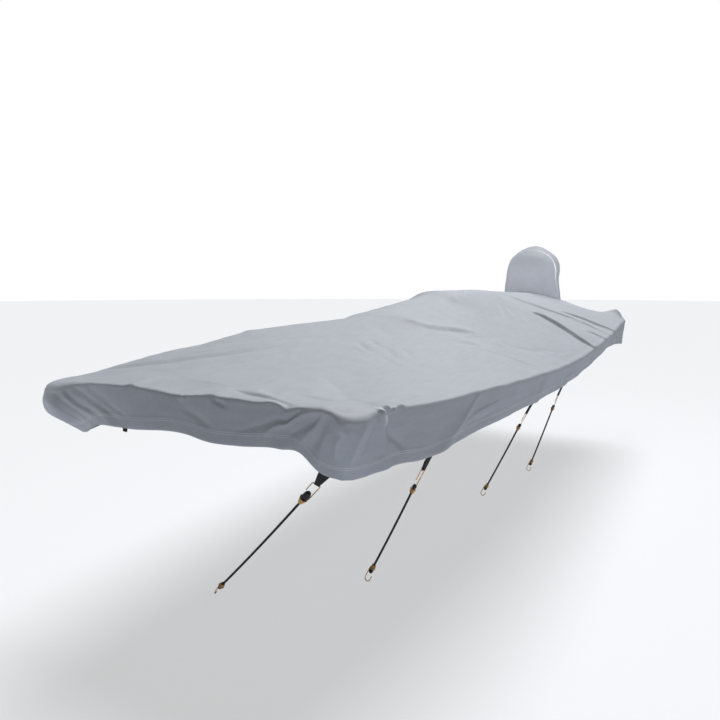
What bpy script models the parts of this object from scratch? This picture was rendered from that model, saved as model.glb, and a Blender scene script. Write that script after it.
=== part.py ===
"""Fitted cloth cover for a flat-bowed open boat, hung as it lies on the boat.

Two body panels meet at a cross seam. A domed hood rises from the stern. Webbing loops are sewn
inside the hem, and on the port side each loop holds the wire hook of an elastic tie.

Lengths are metres. In the tables y runs aft from the bow edge and heights are measured from
the bow edge; the finished part has its origin under the top of the cover, +X to port,
+Y aft and +Z up.
"""
import math

import bmesh
import bpy
import numpy as np
from mathutils import Matrix, Vector

# ---------------------------------------------------------------- driving dimensions
LENGTH = 4.70            # bow edge to stern edge
CLOTH = 0.002            # thickness of the cloth
GAP = 0.0003             # running gap between pieces that touch
EDGE_RADIUS = 0.020      # bend of the cloth over the rim
BOW_CROWN = 0.012        # rise of the bow edge at its middle
CORNER_RADIUS = 0.060    # the four corners, seen from above
SEAM_Y = 1.54            # cross seam between the two body panels
ORIGIN_Y = 2.45          # origin: under the highest part of the top
ORIGIN_Z = 0.3335        # the inner face there
SKIRT_WAVE = (0.003, 0.46)      # height and length of the slack wave in the skirt

# station, half beam, height of the rim, height of the hem, lean of the skirt (out is plus)
SIDES = np.array((
    (0.00, 0.655, 0.006, -0.210, -0.060),
    (0.10, 0.663, 0.003, -0.214, -0.045),
    (0.22, 0.675, -0.006, -0.206, -0.028),
    (0.45, 0.707, -0.024, -0.230, -0.026),
    (0.65, 0.734, -0.028, -0.216, -0.030),
    (1.00, 0.771, -0.036, -0.208, -0.036),
    (1.45, 0.798, -0.050, -0.212, -0.044),
    (1.95, 0.814, -0.062, -0.214, -0.046),
    (2.50, 0.818, -0.062, -0.202, -0.040),
    (3.10, 0.818, -0.040, -0.166, -0.032),
    (3.75, 0.816, 0.000, -0.118, -0.026),
    (4.30, 0.804, 0.042, -0.140, -0.022),
    (4.70, 0.792, 0.066, -0.172, -0.020),
))
# share of the half beam (port is plus), height of the hem, lean of the skirt
BOW = np.array((
    (-1.00, -0.210, -0.080),
    (-0.84, -0.196, -0.050),
    (-0.66, -0.150, -0.010),
    (-0.40, -0.144, -0.004),
    (0.06, -0.130, -0.004),
    (0.16, -0.142, -0.004),
    (0.38, -0.140, -0.006),
    (0.64, -0.126, -0.008),
    (0.76, -0.134, -0.012),
    (0.84, -0.190, -0.030),
    (0.92, -0.206, -0.050),
    (1.00, -0.210, -0.060),
))
# share of the half beam, rise of the stern edge over its corner, height of the hem
STERN = np.array((
    (0.00, 0.190, -0.172),
    (0.28, 0.162, -0.172),
    (0.56, 0.078, -0.172),
    (0.72, 0.052, -0.172),
    (0.84, 0.066, -0.172),
    (0.93, 0.076, -0.172),
    (1.00, 0.010, -0.172),
))
STERN_LEAN = -0.020
# ridges that hold the top up: from x, y, z to x, y, z, width, fall at that width, power
RIDGES = (
    (-0.60, 0.05, 0.006, -0.34, 0.78, 0.161, 0.05, 0.02, 2),
    (-0.34, 0.78, 0.161, 0.00, 1.36, 0.216, 0.07, 0.02, 2),
    (0.00, 1.36, 0.216, 0.12, 1.42, 0.212, 0.07, 0.02, 2),
    (-0.12, 1.36, 0.214, 0.02, 2.18, 0.334, 0.06, 0.03, 2),
    (0.02, 2.18, 0.334, 0.04, 2.70, 0.336, 0.14, 0.02, 3),
    (0.04, 2.70, 0.336, 0.00, 3.60, 0.312, 0.10, 0.02, 3),
    (0.00, 3.60, 0.312, 0.00, 4.22, 0.300, 0.12, 0.02, 3),
    (0.00, 4.24, 0.292, 0.00, 4.66, 0.262, 0.20, 0.02, 6),
)
# folds on the top: from x, y to x, y, width, height, steep flank (-1 bow side, 1 stern side)
TOP_FOLDS = (
    (0.38, 2.99, 0.87, 2.92, 0.085, 0.030, -0.75),
    (0.10, 3.22, 0.84, 3.62, 0.060, 0.013, -0.60),
    (0.40, 3.65, 0.86, 3.87, 0.055, 0.015, -0.60),
    (0.62, 3.26, 0.86, 3.39, 0.045, 0.009, -0.50),
    (0.32, 1.47, 0.82, 1.64, 0.050, 0.006, 0.0),
    (0.44, 1.66, 0.82, 1.84, 0.050, 0.005, 0.0),
    (-0.52, 0.16, -0.06, 0.82, 0.045, 0.007, 0.0),
    (-0.36, 0.14, 0.06, 0.72, 0.040, 0.005, 0.0),
    (0.28, 0.62, 0.62, 0.14, 0.080, -0.009, 0.0),
    (0.60, 0.00, 0.70, 0.06, 0.045, -0.018, 0.0),
    (-0.63, 0.03, -0.50, 0.32, 0.060, 0.016, 0.0),
    (0.52, 0.20, 0.72, 0.15, 0.028, 0.014, 0.4),
    (0.60, 0.26, 0.74, 0.24, 0.028, 0.007, 0.0),
    (0.20, 0.12, 0.46, -0.03, 0.035, 0.011, 0.4),
    (-0.15, 0.15, -0.08, -0.03, 0.035, 0.008, 0.0),
)
# folds in the skirt: metres along the rim from the starboard bow corner, at the rim and at the
# hem, width, height, start and full height as shares of the fall
SKIRT_FOLDS = (
    (0.03, 0.07, 0.035, 0.008, 0.05, 0.6),
    (0.07, 0.17, 0.035, 0.009, 0.05, 0.7),
    (0.12, 0.29, 0.040, 0.007, 0.10, 0.8),
    (1.22, 1.07, 0.035, 0.009, 0.05, 0.8),
    (1.26, 1.16, 0.035, 0.011, 0.05, 0.8),
    (1.30, 1.28, 0.035, 0.008, 0.10, 0.8),
    (1.40, 1.48, 0.035, 0.010, -0.05, 0.3),
    (2.10, 1.84, 0.060, 0.010, 0.10, 0.9),
    (2.96, 2.88, 0.050, 0.008, 0.10, 0.9),
    (3.60, 3.50, 0.060, 0.008, 0.10, 0.9),
)
# slack pockets in the bow corners: metres along the rim, depth, width, then how far the
# pocket stands out at the rim and at quarters of the fall
POCKETS = (
    (0.0, 0.084, 0.11, (0.80, 1.10, 1.10, 0.60, 0.0)),
    (1.30, 0.020, 0.10, (0.80, 0.90, 0.75, 0.40, 0.0)),
)

# hood: height, half width, middle station, half length, how far it stands to port, and how
# square its oval section is (2 is an ellipse)
HOOD = np.array((
    (0.160, 0.250, 4.425, 0.242, 0.018, 2.9),
    (0.300, 0.246, 4.425, 0.238, 0.016, 2.9),
    (0.360, 0.237, 4.430, 0.234, 0.010, 2.8),
    (0.430, 0.229, 4.436, 0.234, 0.010, 2.7),
    (0.500, 0.231, 4.445, 0.239, 0.013, 2.6),
    (0.570, 0.220, 4.450, 0.230, 0.016, 2.5),
    (0.620, 0.197, 4.452, 0.209, 0.016, 2.4),
    (0.660, 0.161, 4.452, 0.172, 0.014, 2.3),
    (0.695, 0.110, 4.450, 0.121, 0.016, 2.2),
    (0.715, 0.061, 4.448, 0.069, 0.022, 2.1),
    (0.727, 0.028, 4.446, 0.030, 0.024, 2.0),
))
HOOD_TOP = 0.733
HOOD_SIDES = 28
HOOD_TURN_IN = 0.016     # seam allowance of the hood below the top of the cover
HOOD_SEAM = (4.325, 0.70, -0.15)    # station and height on the hood's seam, run per fall

# webbing loops on the port side: metres along the rim, width at the hem, width at the hook,
# depth of the strap's middle behind the face of the cloth
LOOPS = (
    (1.205, 0.030, 0.018, 0.00410),
    (1.760, 0.032, 0.018, 0.00336),
    (2.830, 0.030, 0.018, 0.00347),
    (3.440, 0.030, 0.018, 0.00328),
)
# loops on the starboard side: metres back along the rim from the starboard bow corner, depth
STARBOARD_LOOPS = (
    (0.30, 0.00331),
    (0.80, 0.00327),
    (1.58, 0.00331),
    (2.30, 0.00333),
)
WEBBING = 0.0018         # thickness of the webbing
LOOP_TUCK = 0.022        # sewn part inside the hem
LOOP_LIP = 0.004         # sewn part below the hem
LOOP_DROP = 0.052        # hem to the hook
WIRE = 0.0034            # diameter of the hook wire
HOOK_CORNER = 0.006      # bend of the upper hook beside the strap
HOOK_RETURN = 0.042      # free leg of the upper hook
UPPER_SHANK = 0.076      # upper hook, strap to sleeve
LOWER_SHANK = 0.036      # lower hook, sleeve to bend
LOWER_BEND = 0.011       # radius of the lower hook
LOWER_TIP = 0.014        # straight tip of the lower hook
CORD = 0.008             # diameter of the elastic cord
SLEEVE_NECK = 0.0065     # radius of a sleeve where the cord enters
# upper end of each cord: radius and length of the cord's knob, length of the sleeve
UPPER_ENDS = (
    (0.0115, 0.030, 0.030),
    (0.0080, 0.014, 0.022),
    (0.0080, 0.014, 0.022),
    (0.0080, 0.014, 0.022),
)
LOWER_END = (0.0080, 0.014, 0.022)
# far end of each tie: x, y, height, and the sag of the cord
TIE_ENDS = (
    (0.06, 0.105, -0.700, 0.004),
    (0.52, 0.40, -0.640, 0.003),
    (0.58, 1.50, -0.640, 0.003),
    (0.66, 2.06, -0.640, 0.003),
)

# mesh of the body panels: spans of the top with their number of steps
COLUMNS = 14
CORNER_COLUMNS = (0.84, 0.885, 0.925, 0.96, 1.0)     # shares of the half beam
ROW_SPANS = ((0.0, 0.06, 2), (0.06, 0.30, 4), (0.30, 1.50, 13), (1.50, 2.70, 12),
             (2.70, 4.10, 30), (4.10, 4.64, 7), (4.64, 4.70, 2))
# levels of the skirt: share of the bend over the rim, share of the straight fall
LEVELS = ((0.5, 0.0), (1.0, 0.0), (1.0, 0.33), (1.0, 0.67), (1.0, 1.0))
RELAX_GRID = (48, 140)
RELAX_STEPS = 3000

COVER_COLOUR = (0.42, 0.44, 0.48, 1.0)
WEBBING_COLOUR = (0.02, 0.02, 0.022, 1.0)
WIRE_COLOUR = (0.55, 0.33, 0.13, 1.0)
CORD_COLOUR = (0.012, 0.012, 0.014, 1.0)


# ---------------------------------------------------------------- scene and materials
def clear_scene():
    for thing in list(bpy.data.objects):
        bpy.data.objects.remove(thing, do_unlink=True)


def new_collection(name):
    collection = bpy.data.collections.new(name)
    bpy.context.scene.collection.children.link(collection)
    return collection


def material(name, colour, roughness, metallic=0.0):
    made = bpy.data.materials.new(name)
    made.use_nodes = True
    shader = made.node_tree.nodes["Principled BSDF"]
    shader.inputs["Base Color"].default_value = colour
    shader.inputs["Roughness"].default_value = roughness
    shader.inputs["Metallic"].default_value = metallic
    return made


def add_object(name, mesh, collection, finish=None):
    made = bpy.data.objects.new(name, mesh)
    collection.objects.link(made)
    if finish is not None and not mesh.materials:
        mesh.materials.append(finish)
    return made


def mesh_from(name, points, faces, smooth_angle=None):
    mesh = bpy.data.meshes.new(name)
    mesh.from_pydata([tuple(point) for point in points], [], faces)
    mesh.validate()
    if smooth_angle is not None:
        mesh.shade_smooth()
        mesh.set_sharp_from_angle(angle=math.radians(smooth_angle))
    return mesh


def placed(points):
    """Table coordinates to the part's own frame."""
    return np.asarray(points, float) - np.array((0.0, ORIGIN_Y, ORIGIN_Z))


# ---------------------------------------------------------------- the cloth's surface
def read(table, column, place):
    """Smooth curve through one column of a table, read at one place or many."""
    keys = table[:, 0]
    values = table[:, column]
    place = np.clip(np.asarray(place, float), keys[0], keys[-1])
    slopes = np.gradient(values, keys)
    row = np.clip(np.searchsorted(keys, place, side="right") - 1, 0, len(keys) - 2)
    step = keys[row + 1] - keys[row]
    t = (place - keys[row]) / step
    rise = (2 * t**3 - 3 * t**2 + 1) * values[row] + (3 * t**2 - 2 * t**3) * values[row + 1]
    bend = (t**3 - 2 * t**2 + t) * slopes[row] + (t**3 - t**2) * slopes[row + 1]
    return rise + bend * step


def stretched_top():
    """Heights of a sheet pulled tight over the ridges, between the rims, on a regular grid."""
    columns, rows = RELAX_GRID
    share, along = np.meshgrid(np.linspace(-1, 1, columns + 1), np.linspace(0, 1, rows + 1))
    y = along * LENGTH
    x = share * read(SIDES, 1, y)
    rim = read(SIDES, 2, y)
    held = np.full_like(x, -1.0)
    for x0, y0, z0, x1, y1, z1, width, fall, power in RIDGES:
        run = (x1 - x0)**2 + (y1 - y0)**2
        t = np.clip(((x - x0) * (x1 - x0) + (y - y0) * (y1 - y0)) / run, 0, 1)
        away = np.hypot(x - x0 - t * (x1 - x0), y - y0 - t * (y1 - y0))
        held = np.maximum(held, z0 + t * (z1 - z0) - fall * (away / width)**power)
    z = np.maximum(rim, held)
    z[:, 0] = rim[:, 0]
    z[:, -1] = rim[:, -1]
    z[0] = rim[0] + BOW_CROWN * (1 - share[0]**2)
    z[-1] = rim[-1] + read(STERN, 1, np.abs(share[-1]))
    across = (columns / (2 * read(SIDES, 1, y)[1:-1, 1:-1]))**2
    lengthwise = (rows / LENGTH)**2
    for _ in range(RELAX_STEPS):
        level = across * (z[1:-1, 2:] + z[1:-1, :-2]) + lengthwise * (z[2:, 1:-1] + z[:-2, 1:-1])
        z[1:-1, 1:-1] = np.maximum(held[1:-1, 1:-1], level / (2 * (across + lengthwise)))
    return z


TOP_HEIGHTS = stretched_top()


def top_height(share, along):
    """Height of the stretched top at shares of the half beam and of the length."""
    columns, rows = RELAX_GRID
    u = (np.asarray(share, float) + 1) / 2 * columns
    v = np.asarray(along, float) * rows
    i = np.clip(u.astype(int), 0, columns - 1)
    j = np.clip(v.astype(int), 0, rows - 1)
    weights = []
    for t in (u - i, v - j):
        weights.append(((-t + 2 * t**2 - t**3) / 2, (2 - 5 * t**2 + 3 * t**3) / 2,
                        (t + 4 * t**2 - 3 * t**3) / 2, (t**3 - t**2) / 2))
    height = 0.0
    for q in range(4):
        for p in range(4):
            near = TOP_HEIGHTS[np.clip(j + q - 1, 0, rows), np.clip(i + p - 1, 0, columns)]
            height = height + weights[0][p] * weights[1][q] * near
    return height


def fold_height(x, y):
    """Sum of the folds on the top."""
    height = np.zeros_like(x)
    for x0, y0, x1, y1, width, rise, steep in TOP_FOLDS:
        length = math.hypot(x1 - x0, y1 - y0)
        t = ((x - x0) * (x1 - x0) + (y - y0) * (y1 - y0)) / length**2
        off = ((y - y0) * (x1 - x0) - (x - x0) * (y1 - y0)) / length
        width_aft = width * (1 - max(steep, 0.0))
        width_fore = width * (1 + min(steep, 0.0))
        flank = np.where(off > 0, off / width_aft, off / width_fore)
        height += rise * np.clip(1 - np.abs(2 * t - 1)**3, 0, 1) * np.exp(-flank**2)
    return height


def top_surface(share, along):
    """The top of the cover as a grid of points, its corners rounded in plan."""
    share, along = np.meshgrid(share, along)
    y = along * LENGTH
    beam = read(SIDES, 1, y)
    x = share * beam
    z = top_height(share, along) + fold_height(x, y)
    inset = beam - np.abs(x)
    for distance, sign, end in ((y, 1, 0.0), (LENGTH - y, -1, LENGTH)):
        corner = (inset < CORNER_RADIUS) & (distance < CORNER_RADIUS)
        a = 1 - inset[corner] / CORNER_RADIUS
        b = 1 - distance[corner] / CORNER_RADIUS
        turn_x = CORNER_RADIUS * (1 - a * np.sqrt(1 - b * b / 2))
        turn_y = CORNER_RADIUS * (1 - b * np.sqrt(1 - a * a / 2))
        x[corner] = np.sign(x[corner]) * (beam[corner] - turn_x)
        y[corner] = end + sign * turn_y
    return np.stack((x, y, z), axis=-1)


def rim_loop(rows, columns):
    """Grid places of the rim: bow edge to port, port side, stern, starboard side."""
    loop = [(0, i) for i in range(columns)]
    loop += [(j, columns - 1) for j in range(1, rows)]
    loop += [(rows - 1, i) for i in range(columns - 2, -1, -1)]
    loop += [(j, 0) for j in range(rows - 2, 0, -1)]
    return loop


def rim_distance(points):
    """Metres along the rim, from the starboard bow corner."""
    steps = np.linalg.norm(points - np.roll(points, 1, axis=0), axis=1)
    steps[0] = 0.0
    return np.cumsum(steps)


def skirt_surface(top, share, along, levels):
    """Rings of points from the rim down to the hem, with the metres along the rim."""
    loop = rim_loop(len(along), len(share))
    rim = np.array([top[place] for place in loop])
    reach = rim_distance(rim)
    girth = reach[-1] + np.linalg.norm(rim[0] - rim[-1])
    tangent = np.roll(rim, -1, axis=0) - np.roll(rim, 1, axis=0)
    outward = np.stack((tangent[:, 1], -tangent[:, 0]), axis=-1)
    outward /= np.linalg.norm(outward, axis=1, keepdims=True)
    hem = np.zeros(len(loop))
    lean = np.zeros(len(loop))
    for number, (row, column) in enumerate(loop):
        if row == 0:
            hem[number] = read(BOW, 1, share[column])
            lean[number] = read(BOW, 2, share[column])
        elif row == len(along) - 1 and 0 < column < len(share) - 1:
            hem[number] = read(STERN, 2, abs(share[column]))
            lean[number] = STERN_LEAN
        else:
            hem[number] = read(SIDES, 3, along[row] * LENGTH)
            lean[number] = read(SIDES, 4, along[row] * LENGTH)
    rings = [rim]
    for bend, fall in levels:
        angle = bend * math.pi / 2
        out = EDGE_RADIUS * math.sin(angle) + lean * fall
        out = out + SKIRT_WAVE[0] * fall * np.sin(2 * math.pi * reach / SKIRT_WAVE[1])
        for place, depth, width, profile in POCKETS:
            away = (reach - place + girth / 2) % girth - girth / 2
            belly = np.interp(fall, np.linspace(0, 1, len(profile)), profile)
            out = out + depth * bend * belly * np.exp(-(away / width)**2)
        for at_rim, at_hem, width, rise, start, full in SKIRT_FOLDS:
            grown = min(max((fall - start) / (full - start), 0.0), 1.0)
            away = reach - at_rim - (at_hem - at_rim) * fall
            out = out + rise * math.sin(math.pi / 2 * grown) * np.exp(-(away / width)**2)
        z = rim[:, 2] - EDGE_RADIUS * (1 - math.cos(angle))
        z = z - (rim[:, 2] - hem - EDGE_RADIUS) * fall
        xy = rim[:, :2] + outward * out[:, None]
        rings.append(np.column_stack((xy, z)))
    return np.array(rings), reach


def body_grid():
    """Shares of the half beam and of the length for the columns and rows of the mesh."""
    corner = np.array(CORNER_COLUMNS)
    middle = np.linspace(-corner[0], corner[0], COLUMNS + 1)
    share = np.concatenate((-corner[:0:-1], middle, corner[1:]))
    y = [0.0]
    for start, end, count in ROW_SPANS:
        y += [start + (end - start) * (k + 1) / count for k in range(count)]
    return share, np.array(y) / LENGTH


SHARE, ALONG = body_grid()
TOP = top_surface(SHARE, ALONG)
SKIRT, REACH = skirt_surface(TOP, SHARE, ALONG, LEVELS)


def body_mesh():
    """One open sheet: the top grid and the skirt rings below it."""
    rows, columns = TOP.shape[:2]
    points = list(TOP.reshape(-1, 3))
    loop = [j * columns + i for j, i in rim_loop(rows, columns)]
    faces = []
    for j in range(rows - 1):
        for i in range(columns - 1):
            first = j * columns + i
            faces.append((first, first + 1, first + columns + 1, first + columns))
    upper = loop
    for ring in SKIRT[1:]:
        lower = list(range(len(points), len(points) + len(ring)))
        points += list(ring)
        for k in range(len(loop)):
            following = (k + 1) % len(loop)
            faces.append((upper[k], lower[k], lower[following], upper[following]))
        upper = lower
    return mesh_from("body_sheet", placed(points), faces, smooth_angle=50)


# ---------------------------------------------------------------- modifiers and cutters
def solidify(made, thickness):
    shell = made.modifiers.new("cloth", "SOLIDIFY")
    shell.thickness = thickness
    shell.offset = -1.0
    shell.use_even_offset = True


def boolean(made, operation, cutter):
    cut = made.modifiers.new(operation.lower(), "BOOLEAN")
    cut.operation = operation
    cut.solver = "EXACT"
    cut.object = cutter


def add_cutter(name, mesh, collection):
    made = add_object(name, mesh, collection)
    made.hide_render = True
    made.display_type = "WIRE"
    return made


def box_cutter(name, low, high, collection, turn=None):
    """A box between two corners, turned about the part's origin when a matrix is given."""
    shape = bmesh.new()
    bmesh.ops.create_cube(shape, size=1.0)
    size = [b - a for a, b in zip(low, high)]
    middle = [(a + b) / 2 for a, b in zip(low, high)]
    place = Matrix.Translation(middle) @ Matrix.Diagonal((*size, 1.0))
    bmesh.ops.transform(shape, matrix=(turn or Matrix()) @ place, verts=shape.verts)
    mesh = bpy.data.meshes.new(name)
    shape.to_mesh(mesh)
    shape.free()
    return add_cutter(name, mesh, collection)


# ---------------------------------------------------------------- hood
def hood_outline(height, grow=0.0):
    """Squared oval of the hood at one height, as x and y pairs."""
    half_width, middle, half_length, sideways, squareness = (
        np.interp(height, HOOD[:, 0], HOOD[:, column]) for column in range(1, 6))
    angle = 2 * math.pi * np.arange(HOOD_SIDES) / HOOD_SIDES
    power = 2 / squareness
    x = sideways + (half_width + grow) * np.sign(np.cos(angle)) * np.abs(np.cos(angle))**power
    y = middle + (half_length + grow) * np.sign(np.sin(angle)) * np.abs(np.sin(angle))**power
    return x, y


def cover_height(x, y):
    """Height of the top of the cover at a place."""
    share = x / read(SIDES, 1, y)
    return top_height(share, y / LENGTH) + fold_height(x, y)


def hood_mesh():
    """The hood's sheet, from its turned-in lower edge to the closed crown."""
    rings = []
    foot_x, foot_y = hood_outline(HOOD[1, 0])
    seat = cover_height(foot_x, foot_y)
    for lift in (-HOOD_TURN_IN, 0.012):
        rings.append(np.column_stack((foot_x, foot_y, seat + lift)))
    for row in HOOD[2:]:
        x, y = hood_outline(row[0])
        rings.append(np.column_stack((x, y, np.full(HOOD_SIDES, row[0]))))
    points = np.concatenate(rings)
    faces = []
    for k in range(len(rings) - 1):
        for i in range(HOOD_SIDES):
            following = (i + 1) % HOOD_SIDES
            a = k * HOOD_SIDES
            b = a + HOOD_SIDES
            faces.append((a + i, a + following, b + following, b + i))
    crown = len(points)
    points = np.vstack((points, (HOOD[-1, 4], HOOD[-1, 2], HOOD_TOP)))
    last = (len(rings) - 1) * HOOD_SIDES
    faces += [(last + i, last + (i + 1) % HOOD_SIDES, crown) for i in range(HOOD_SIDES)]
    return mesh_from("hood_sheet", placed(points), faces, smooth_angle=50)


def hood_hole_cutter(collection):
    """A plug a little wider than the foot of the hood, for the hole in the stern panel."""
    x, y = hood_outline(HOOD[1, 0], grow=GAP)
    low = [(a, b, 0.10) for a, b in zip(x, y)]
    high = [(a, b, 0.50) for a, b in zip(x, y)]
    count = HOOD_SIDES
    faces = [tuple(reversed(range(count))), tuple(range(count, 2 * count))]
    for i in range(count):
        following = (i + 1) % count
        faces.append((i, following, count + following, count + i))
    return add_cutter("hood_hole", mesh_from("hood_hole", placed(low + high), faces), collection)


# ---------------------------------------------------------------- loops and ties
def hem_frame(reach):
    """Hem point, direction along the hem and outward direction at metres along the rim."""
    ring = SKIRT[-1]
    above = SKIRT[-2]
    k = int(np.clip(np.searchsorted(REACH, reach) - 1, 0, len(REACH) - 2))
    t = (reach - REACH[k]) / (REACH[k + 1] - REACH[k])
    point = ring[k] * (1 - t) + ring[k + 1] * t
    higher = above[k] * (1 - t) + above[k + 1] * t
    forward = ring[k + 1] - ring[k]
    forward = forward / np.linalg.norm(forward)
    up = higher - point
    up = up / np.linalg.norm(up)
    outward = np.cross(forward, up)
    outward /= np.linalg.norm(outward)
    return point, forward, up, outward


def rim_girth():
    """Length of the rim all the way round."""
    return REACH[-1] + np.linalg.norm(SKIRT[0][0] - SKIRT[0][-1])


class Tie:
    """Places of one webbing loop, its hooks, sleeves and cord, worked out from the hem."""

    def __init__(self, number, to_starboard=False):
        self.reach, self.wide, self.narrow, self.depth = LOOPS[number]
        self.end = np.array(TIE_ENDS[number][:3])
        self.sag = TIE_ENDS[number][3]
        self.knob, self.length, self.sleeve = UPPER_ENDS[number]
        if to_starboard:
            self.reach = rim_girth() - STARBOARD_LOOPS[number][0]
            self.depth = STARBOARD_LOOPS[number][1]
            self.end[0] = min(-self.end[0], -0.5)
        self.hem, self.forward, self.up, self.outward = hem_frame(self.reach)
        self.sewn = self.hem - self.outward * self.depth
        self.pull = self.end - self.sewn
        self.pull /= np.linalg.norm(self.pull)
        self.across = self.forward - self.pull * np.dot(self.forward, self.pull)
        self.across /= np.linalg.norm(self.across)
        self.normal = np.cross(self.across, self.pull)
        self.bar = self.sewn - self.outward * (WEBBING + 0.001) - self.up * 0.004
        self.bar = self.bar + self.pull * LOOP_DROP

    def loop_mesh(self, name):
        """A strap folded round the hook, both ends sewn flat inside the hem."""
        bend = WIRE / 2 + GAP + WEBBING / 2
        side = self.normal if np.dot(self.normal, self.outward) > 0 else -self.normal
        spread = (-1, -0.33, 0.33, 1)
        second = self.depth + WEBBING + 2 * GAP
        points = [self.inside(end, LOOP_TUCK, self.depth) for end in spread]
        points += [self.inside(end, -LOOP_LIP, self.depth) for end in spread]
        for degrees in (0, 45, 90, 135, 180):
            turn = math.radians(degrees)
            offset = side * math.cos(turn) + self.pull * math.sin(turn)
            for end in spread:
                points.append(self.bar + offset * bend + self.across * self.narrow / 2 * end)
        points += [self.inside(end, -LOOP_LIP, second) for end in spread]
        points += [self.inside(end, LOOP_TUCK, second) for end in spread]
        faces = []
        for k in range(len(points) // 4 - 1):
            for j in range(3):
                first = 4 * k + j
                faces.append((first, first + 1, first + 5, first + 4))
        return mesh_from(name, placed(points), faces, smooth_angle=40)

    def inside(self, end, rise, depth):
        """A corner of the sewn part: at one edge of the strap, over the hem, behind the cloth."""
        hem, _, up, outward = hem_frame(self.reach + end * self.wide / 2)
        return hem + up * rise - outward * depth

    def upper_hook(self):
        """Wire from the sleeve up beside the knob, through the loop and back to a free tip."""
        half = self.narrow / 2 + 0.005
        beside = self.knob + GAP + WIRE / 2
        foot = self.bar + self.pull * UPPER_SHANK + self.across * beside
        right = self.bar + self.across * half
        left = self.bar - self.across * half
        path = [foot]
        for corner, before, after in ((right, foot, left), (left, right, left + self.pull)):
            into = (before - corner) / np.linalg.norm(before - corner)
            away = (after - corner) / np.linalg.norm(after - corner)
            for t in (0.0, 0.25, 0.5, 0.75, 1.0):
                path.append(corner + (into * (1 - t)**2 + away * t**2) * HOOK_CORNER)
        path.append(left + self.pull * HOOK_RETURN)
        return np.array(path)

    def sleeve_top(self):
        return self.bar + self.pull * (UPPER_SHANK + GAP)

    def cord_path(self):
        """A taut cord with a slight sag between its two sleeves."""
        start = self.sleeve_top() + self.pull * (self.sleeve + GAP)
        end = self.end
        count = max(8, round(np.linalg.norm(end - start) / (3 * CORD)))
        t = np.linspace(0, 1, count + 1)[:, None]
        path = start * (1 - t) + end * t
        path[:, 2] -= 4 * self.sag * (t * (1 - t))[:, 0]
        return path

    def lower_frame(self):
        """Start of the lower sleeve, direction down the cord and the lower hook's side."""
        cord = self.cord_path()
        down = cord[-1] - cord[-2]
        down /= np.linalg.norm(down)
        side = self.normal - down * np.dot(self.normal, down)
        return self.end + down * GAP, down, side / np.linalg.norm(side)

    def lower_hook(self):
        """A shank beside the knob, half a turn and a short tip."""
        start, down, side = self.lower_frame()
        beside = LOWER_END[0] + GAP + WIRE / 2
        top = start + down * (LOWER_END[2] + GAP) + side * beside
        base = top + down * LOWER_SHANK
        path = [top, base]
        for degrees in range(30, 181, 30):
            turn = math.radians(degrees)
            swing = down * math.sin(turn) - side * (1 - math.cos(turn))
            path.append(base + swing * LOWER_BEND)
        path.append(path[-1] - down * LOWER_TIP)
        return np.array(path)


def wire_object(name, path, diameter, resolution, collection, finish):
    """A round bar along a path, with filled ends."""
    curve = bpy.data.curves.new(name, "CURVE")
    curve.dimensions = "3D"
    curve.bevel_depth = diameter / 2
    curve.bevel_resolution = resolution
    curve.use_fill_caps = True
    spline = curve.splines.new("POLY")
    spline.points.add(len(path) - 1)
    for point, place in zip(spline.points, placed(path)):
        point.co = (*place, 1.0)
    curve.materials.append(finish)
    made = bpy.data.objects.new(name, curve)
    collection.objects.link(made)
    return made


def turned_object(name, start, end, radii, collection, finish):
    """A round piece between two points, with a radius at each share of its length."""
    along = np.asarray(end) - np.asarray(start)
    axis = along / np.linalg.norm(along)
    side = np.cross(axis, (0.3, 1.0, 0.2))
    side /= np.linalg.norm(side)
    third = np.cross(axis, side)
    points = []
    sides = 12
    for share, radius in radii:
        for k in range(sides):
            turn = 2 * math.pi * k / sides
            spoke = side * math.cos(turn) + third * math.sin(turn)
            points.append(start + along * share + spoke * radius)
    faces = [tuple(reversed(range(sides)))]
    faces.append(tuple(range((len(radii) - 1) * sides, len(radii) * sides)))
    for ring in range(len(radii) - 1):
        for k in range(sides):
            first = ring * sides + k
            second = ring * sides + (k + 1) % sides
            faces.append((first, second, second + sides, first + sides))
    mesh = mesh_from(name, placed(points), faces, smooth_angle=40)
    return add_object(name, mesh, collection, finish)


# ---------------------------------------------------------------- building
def build_body(collection, cutters, finish):
    sheet = body_mesh()
    seam = SEAM_Y - ORIGIN_Y
    fore_half = box_cutter("fore_half", (-2, -4, -2), (2, seam - GAP / 2, 2), cutters)
    aft_half = box_cutter("aft_half", (-2, seam + GAP / 2, -2), (2, 4, 2), cutters)
    hole = hood_hole_cutter(cutters)
    fore = add_object("fore_panel", sheet, collection, finish)
    solidify(fore, CLOTH)
    boolean(fore, "INTERSECT", fore_half)
    aft = add_object("aft_panel", sheet, collection, finish)
    solidify(aft, CLOTH)
    boolean(aft, "INTERSECT", aft_half)
    boolean(aft, "DIFFERENCE", hole)


def build_hood(collection, cutters, finish):
    sheet = hood_mesh()
    station, height, run = HOOD_SEAM
    pivot = Vector(placed((0.0, station, height)))
    turn = Matrix.Translation(pivot) @ Matrix.Rotation(-math.atan(run), 4, "X")
    front_half = box_cutter("hood_front_half", (-1, -2, -2), (1, -GAP / 2, 2), cutters, turn)
    back_half = box_cutter("hood_back_half", (-1, GAP / 2, -2), (1, 2, 2), cutters, turn)
    for name, half in (("hood_front", front_half), ("hood_back", back_half)):
        made = add_object(name, sheet, collection, finish)
        solidify(made, CLOTH)
        boolean(made, "INTERSECT", half)


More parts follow.
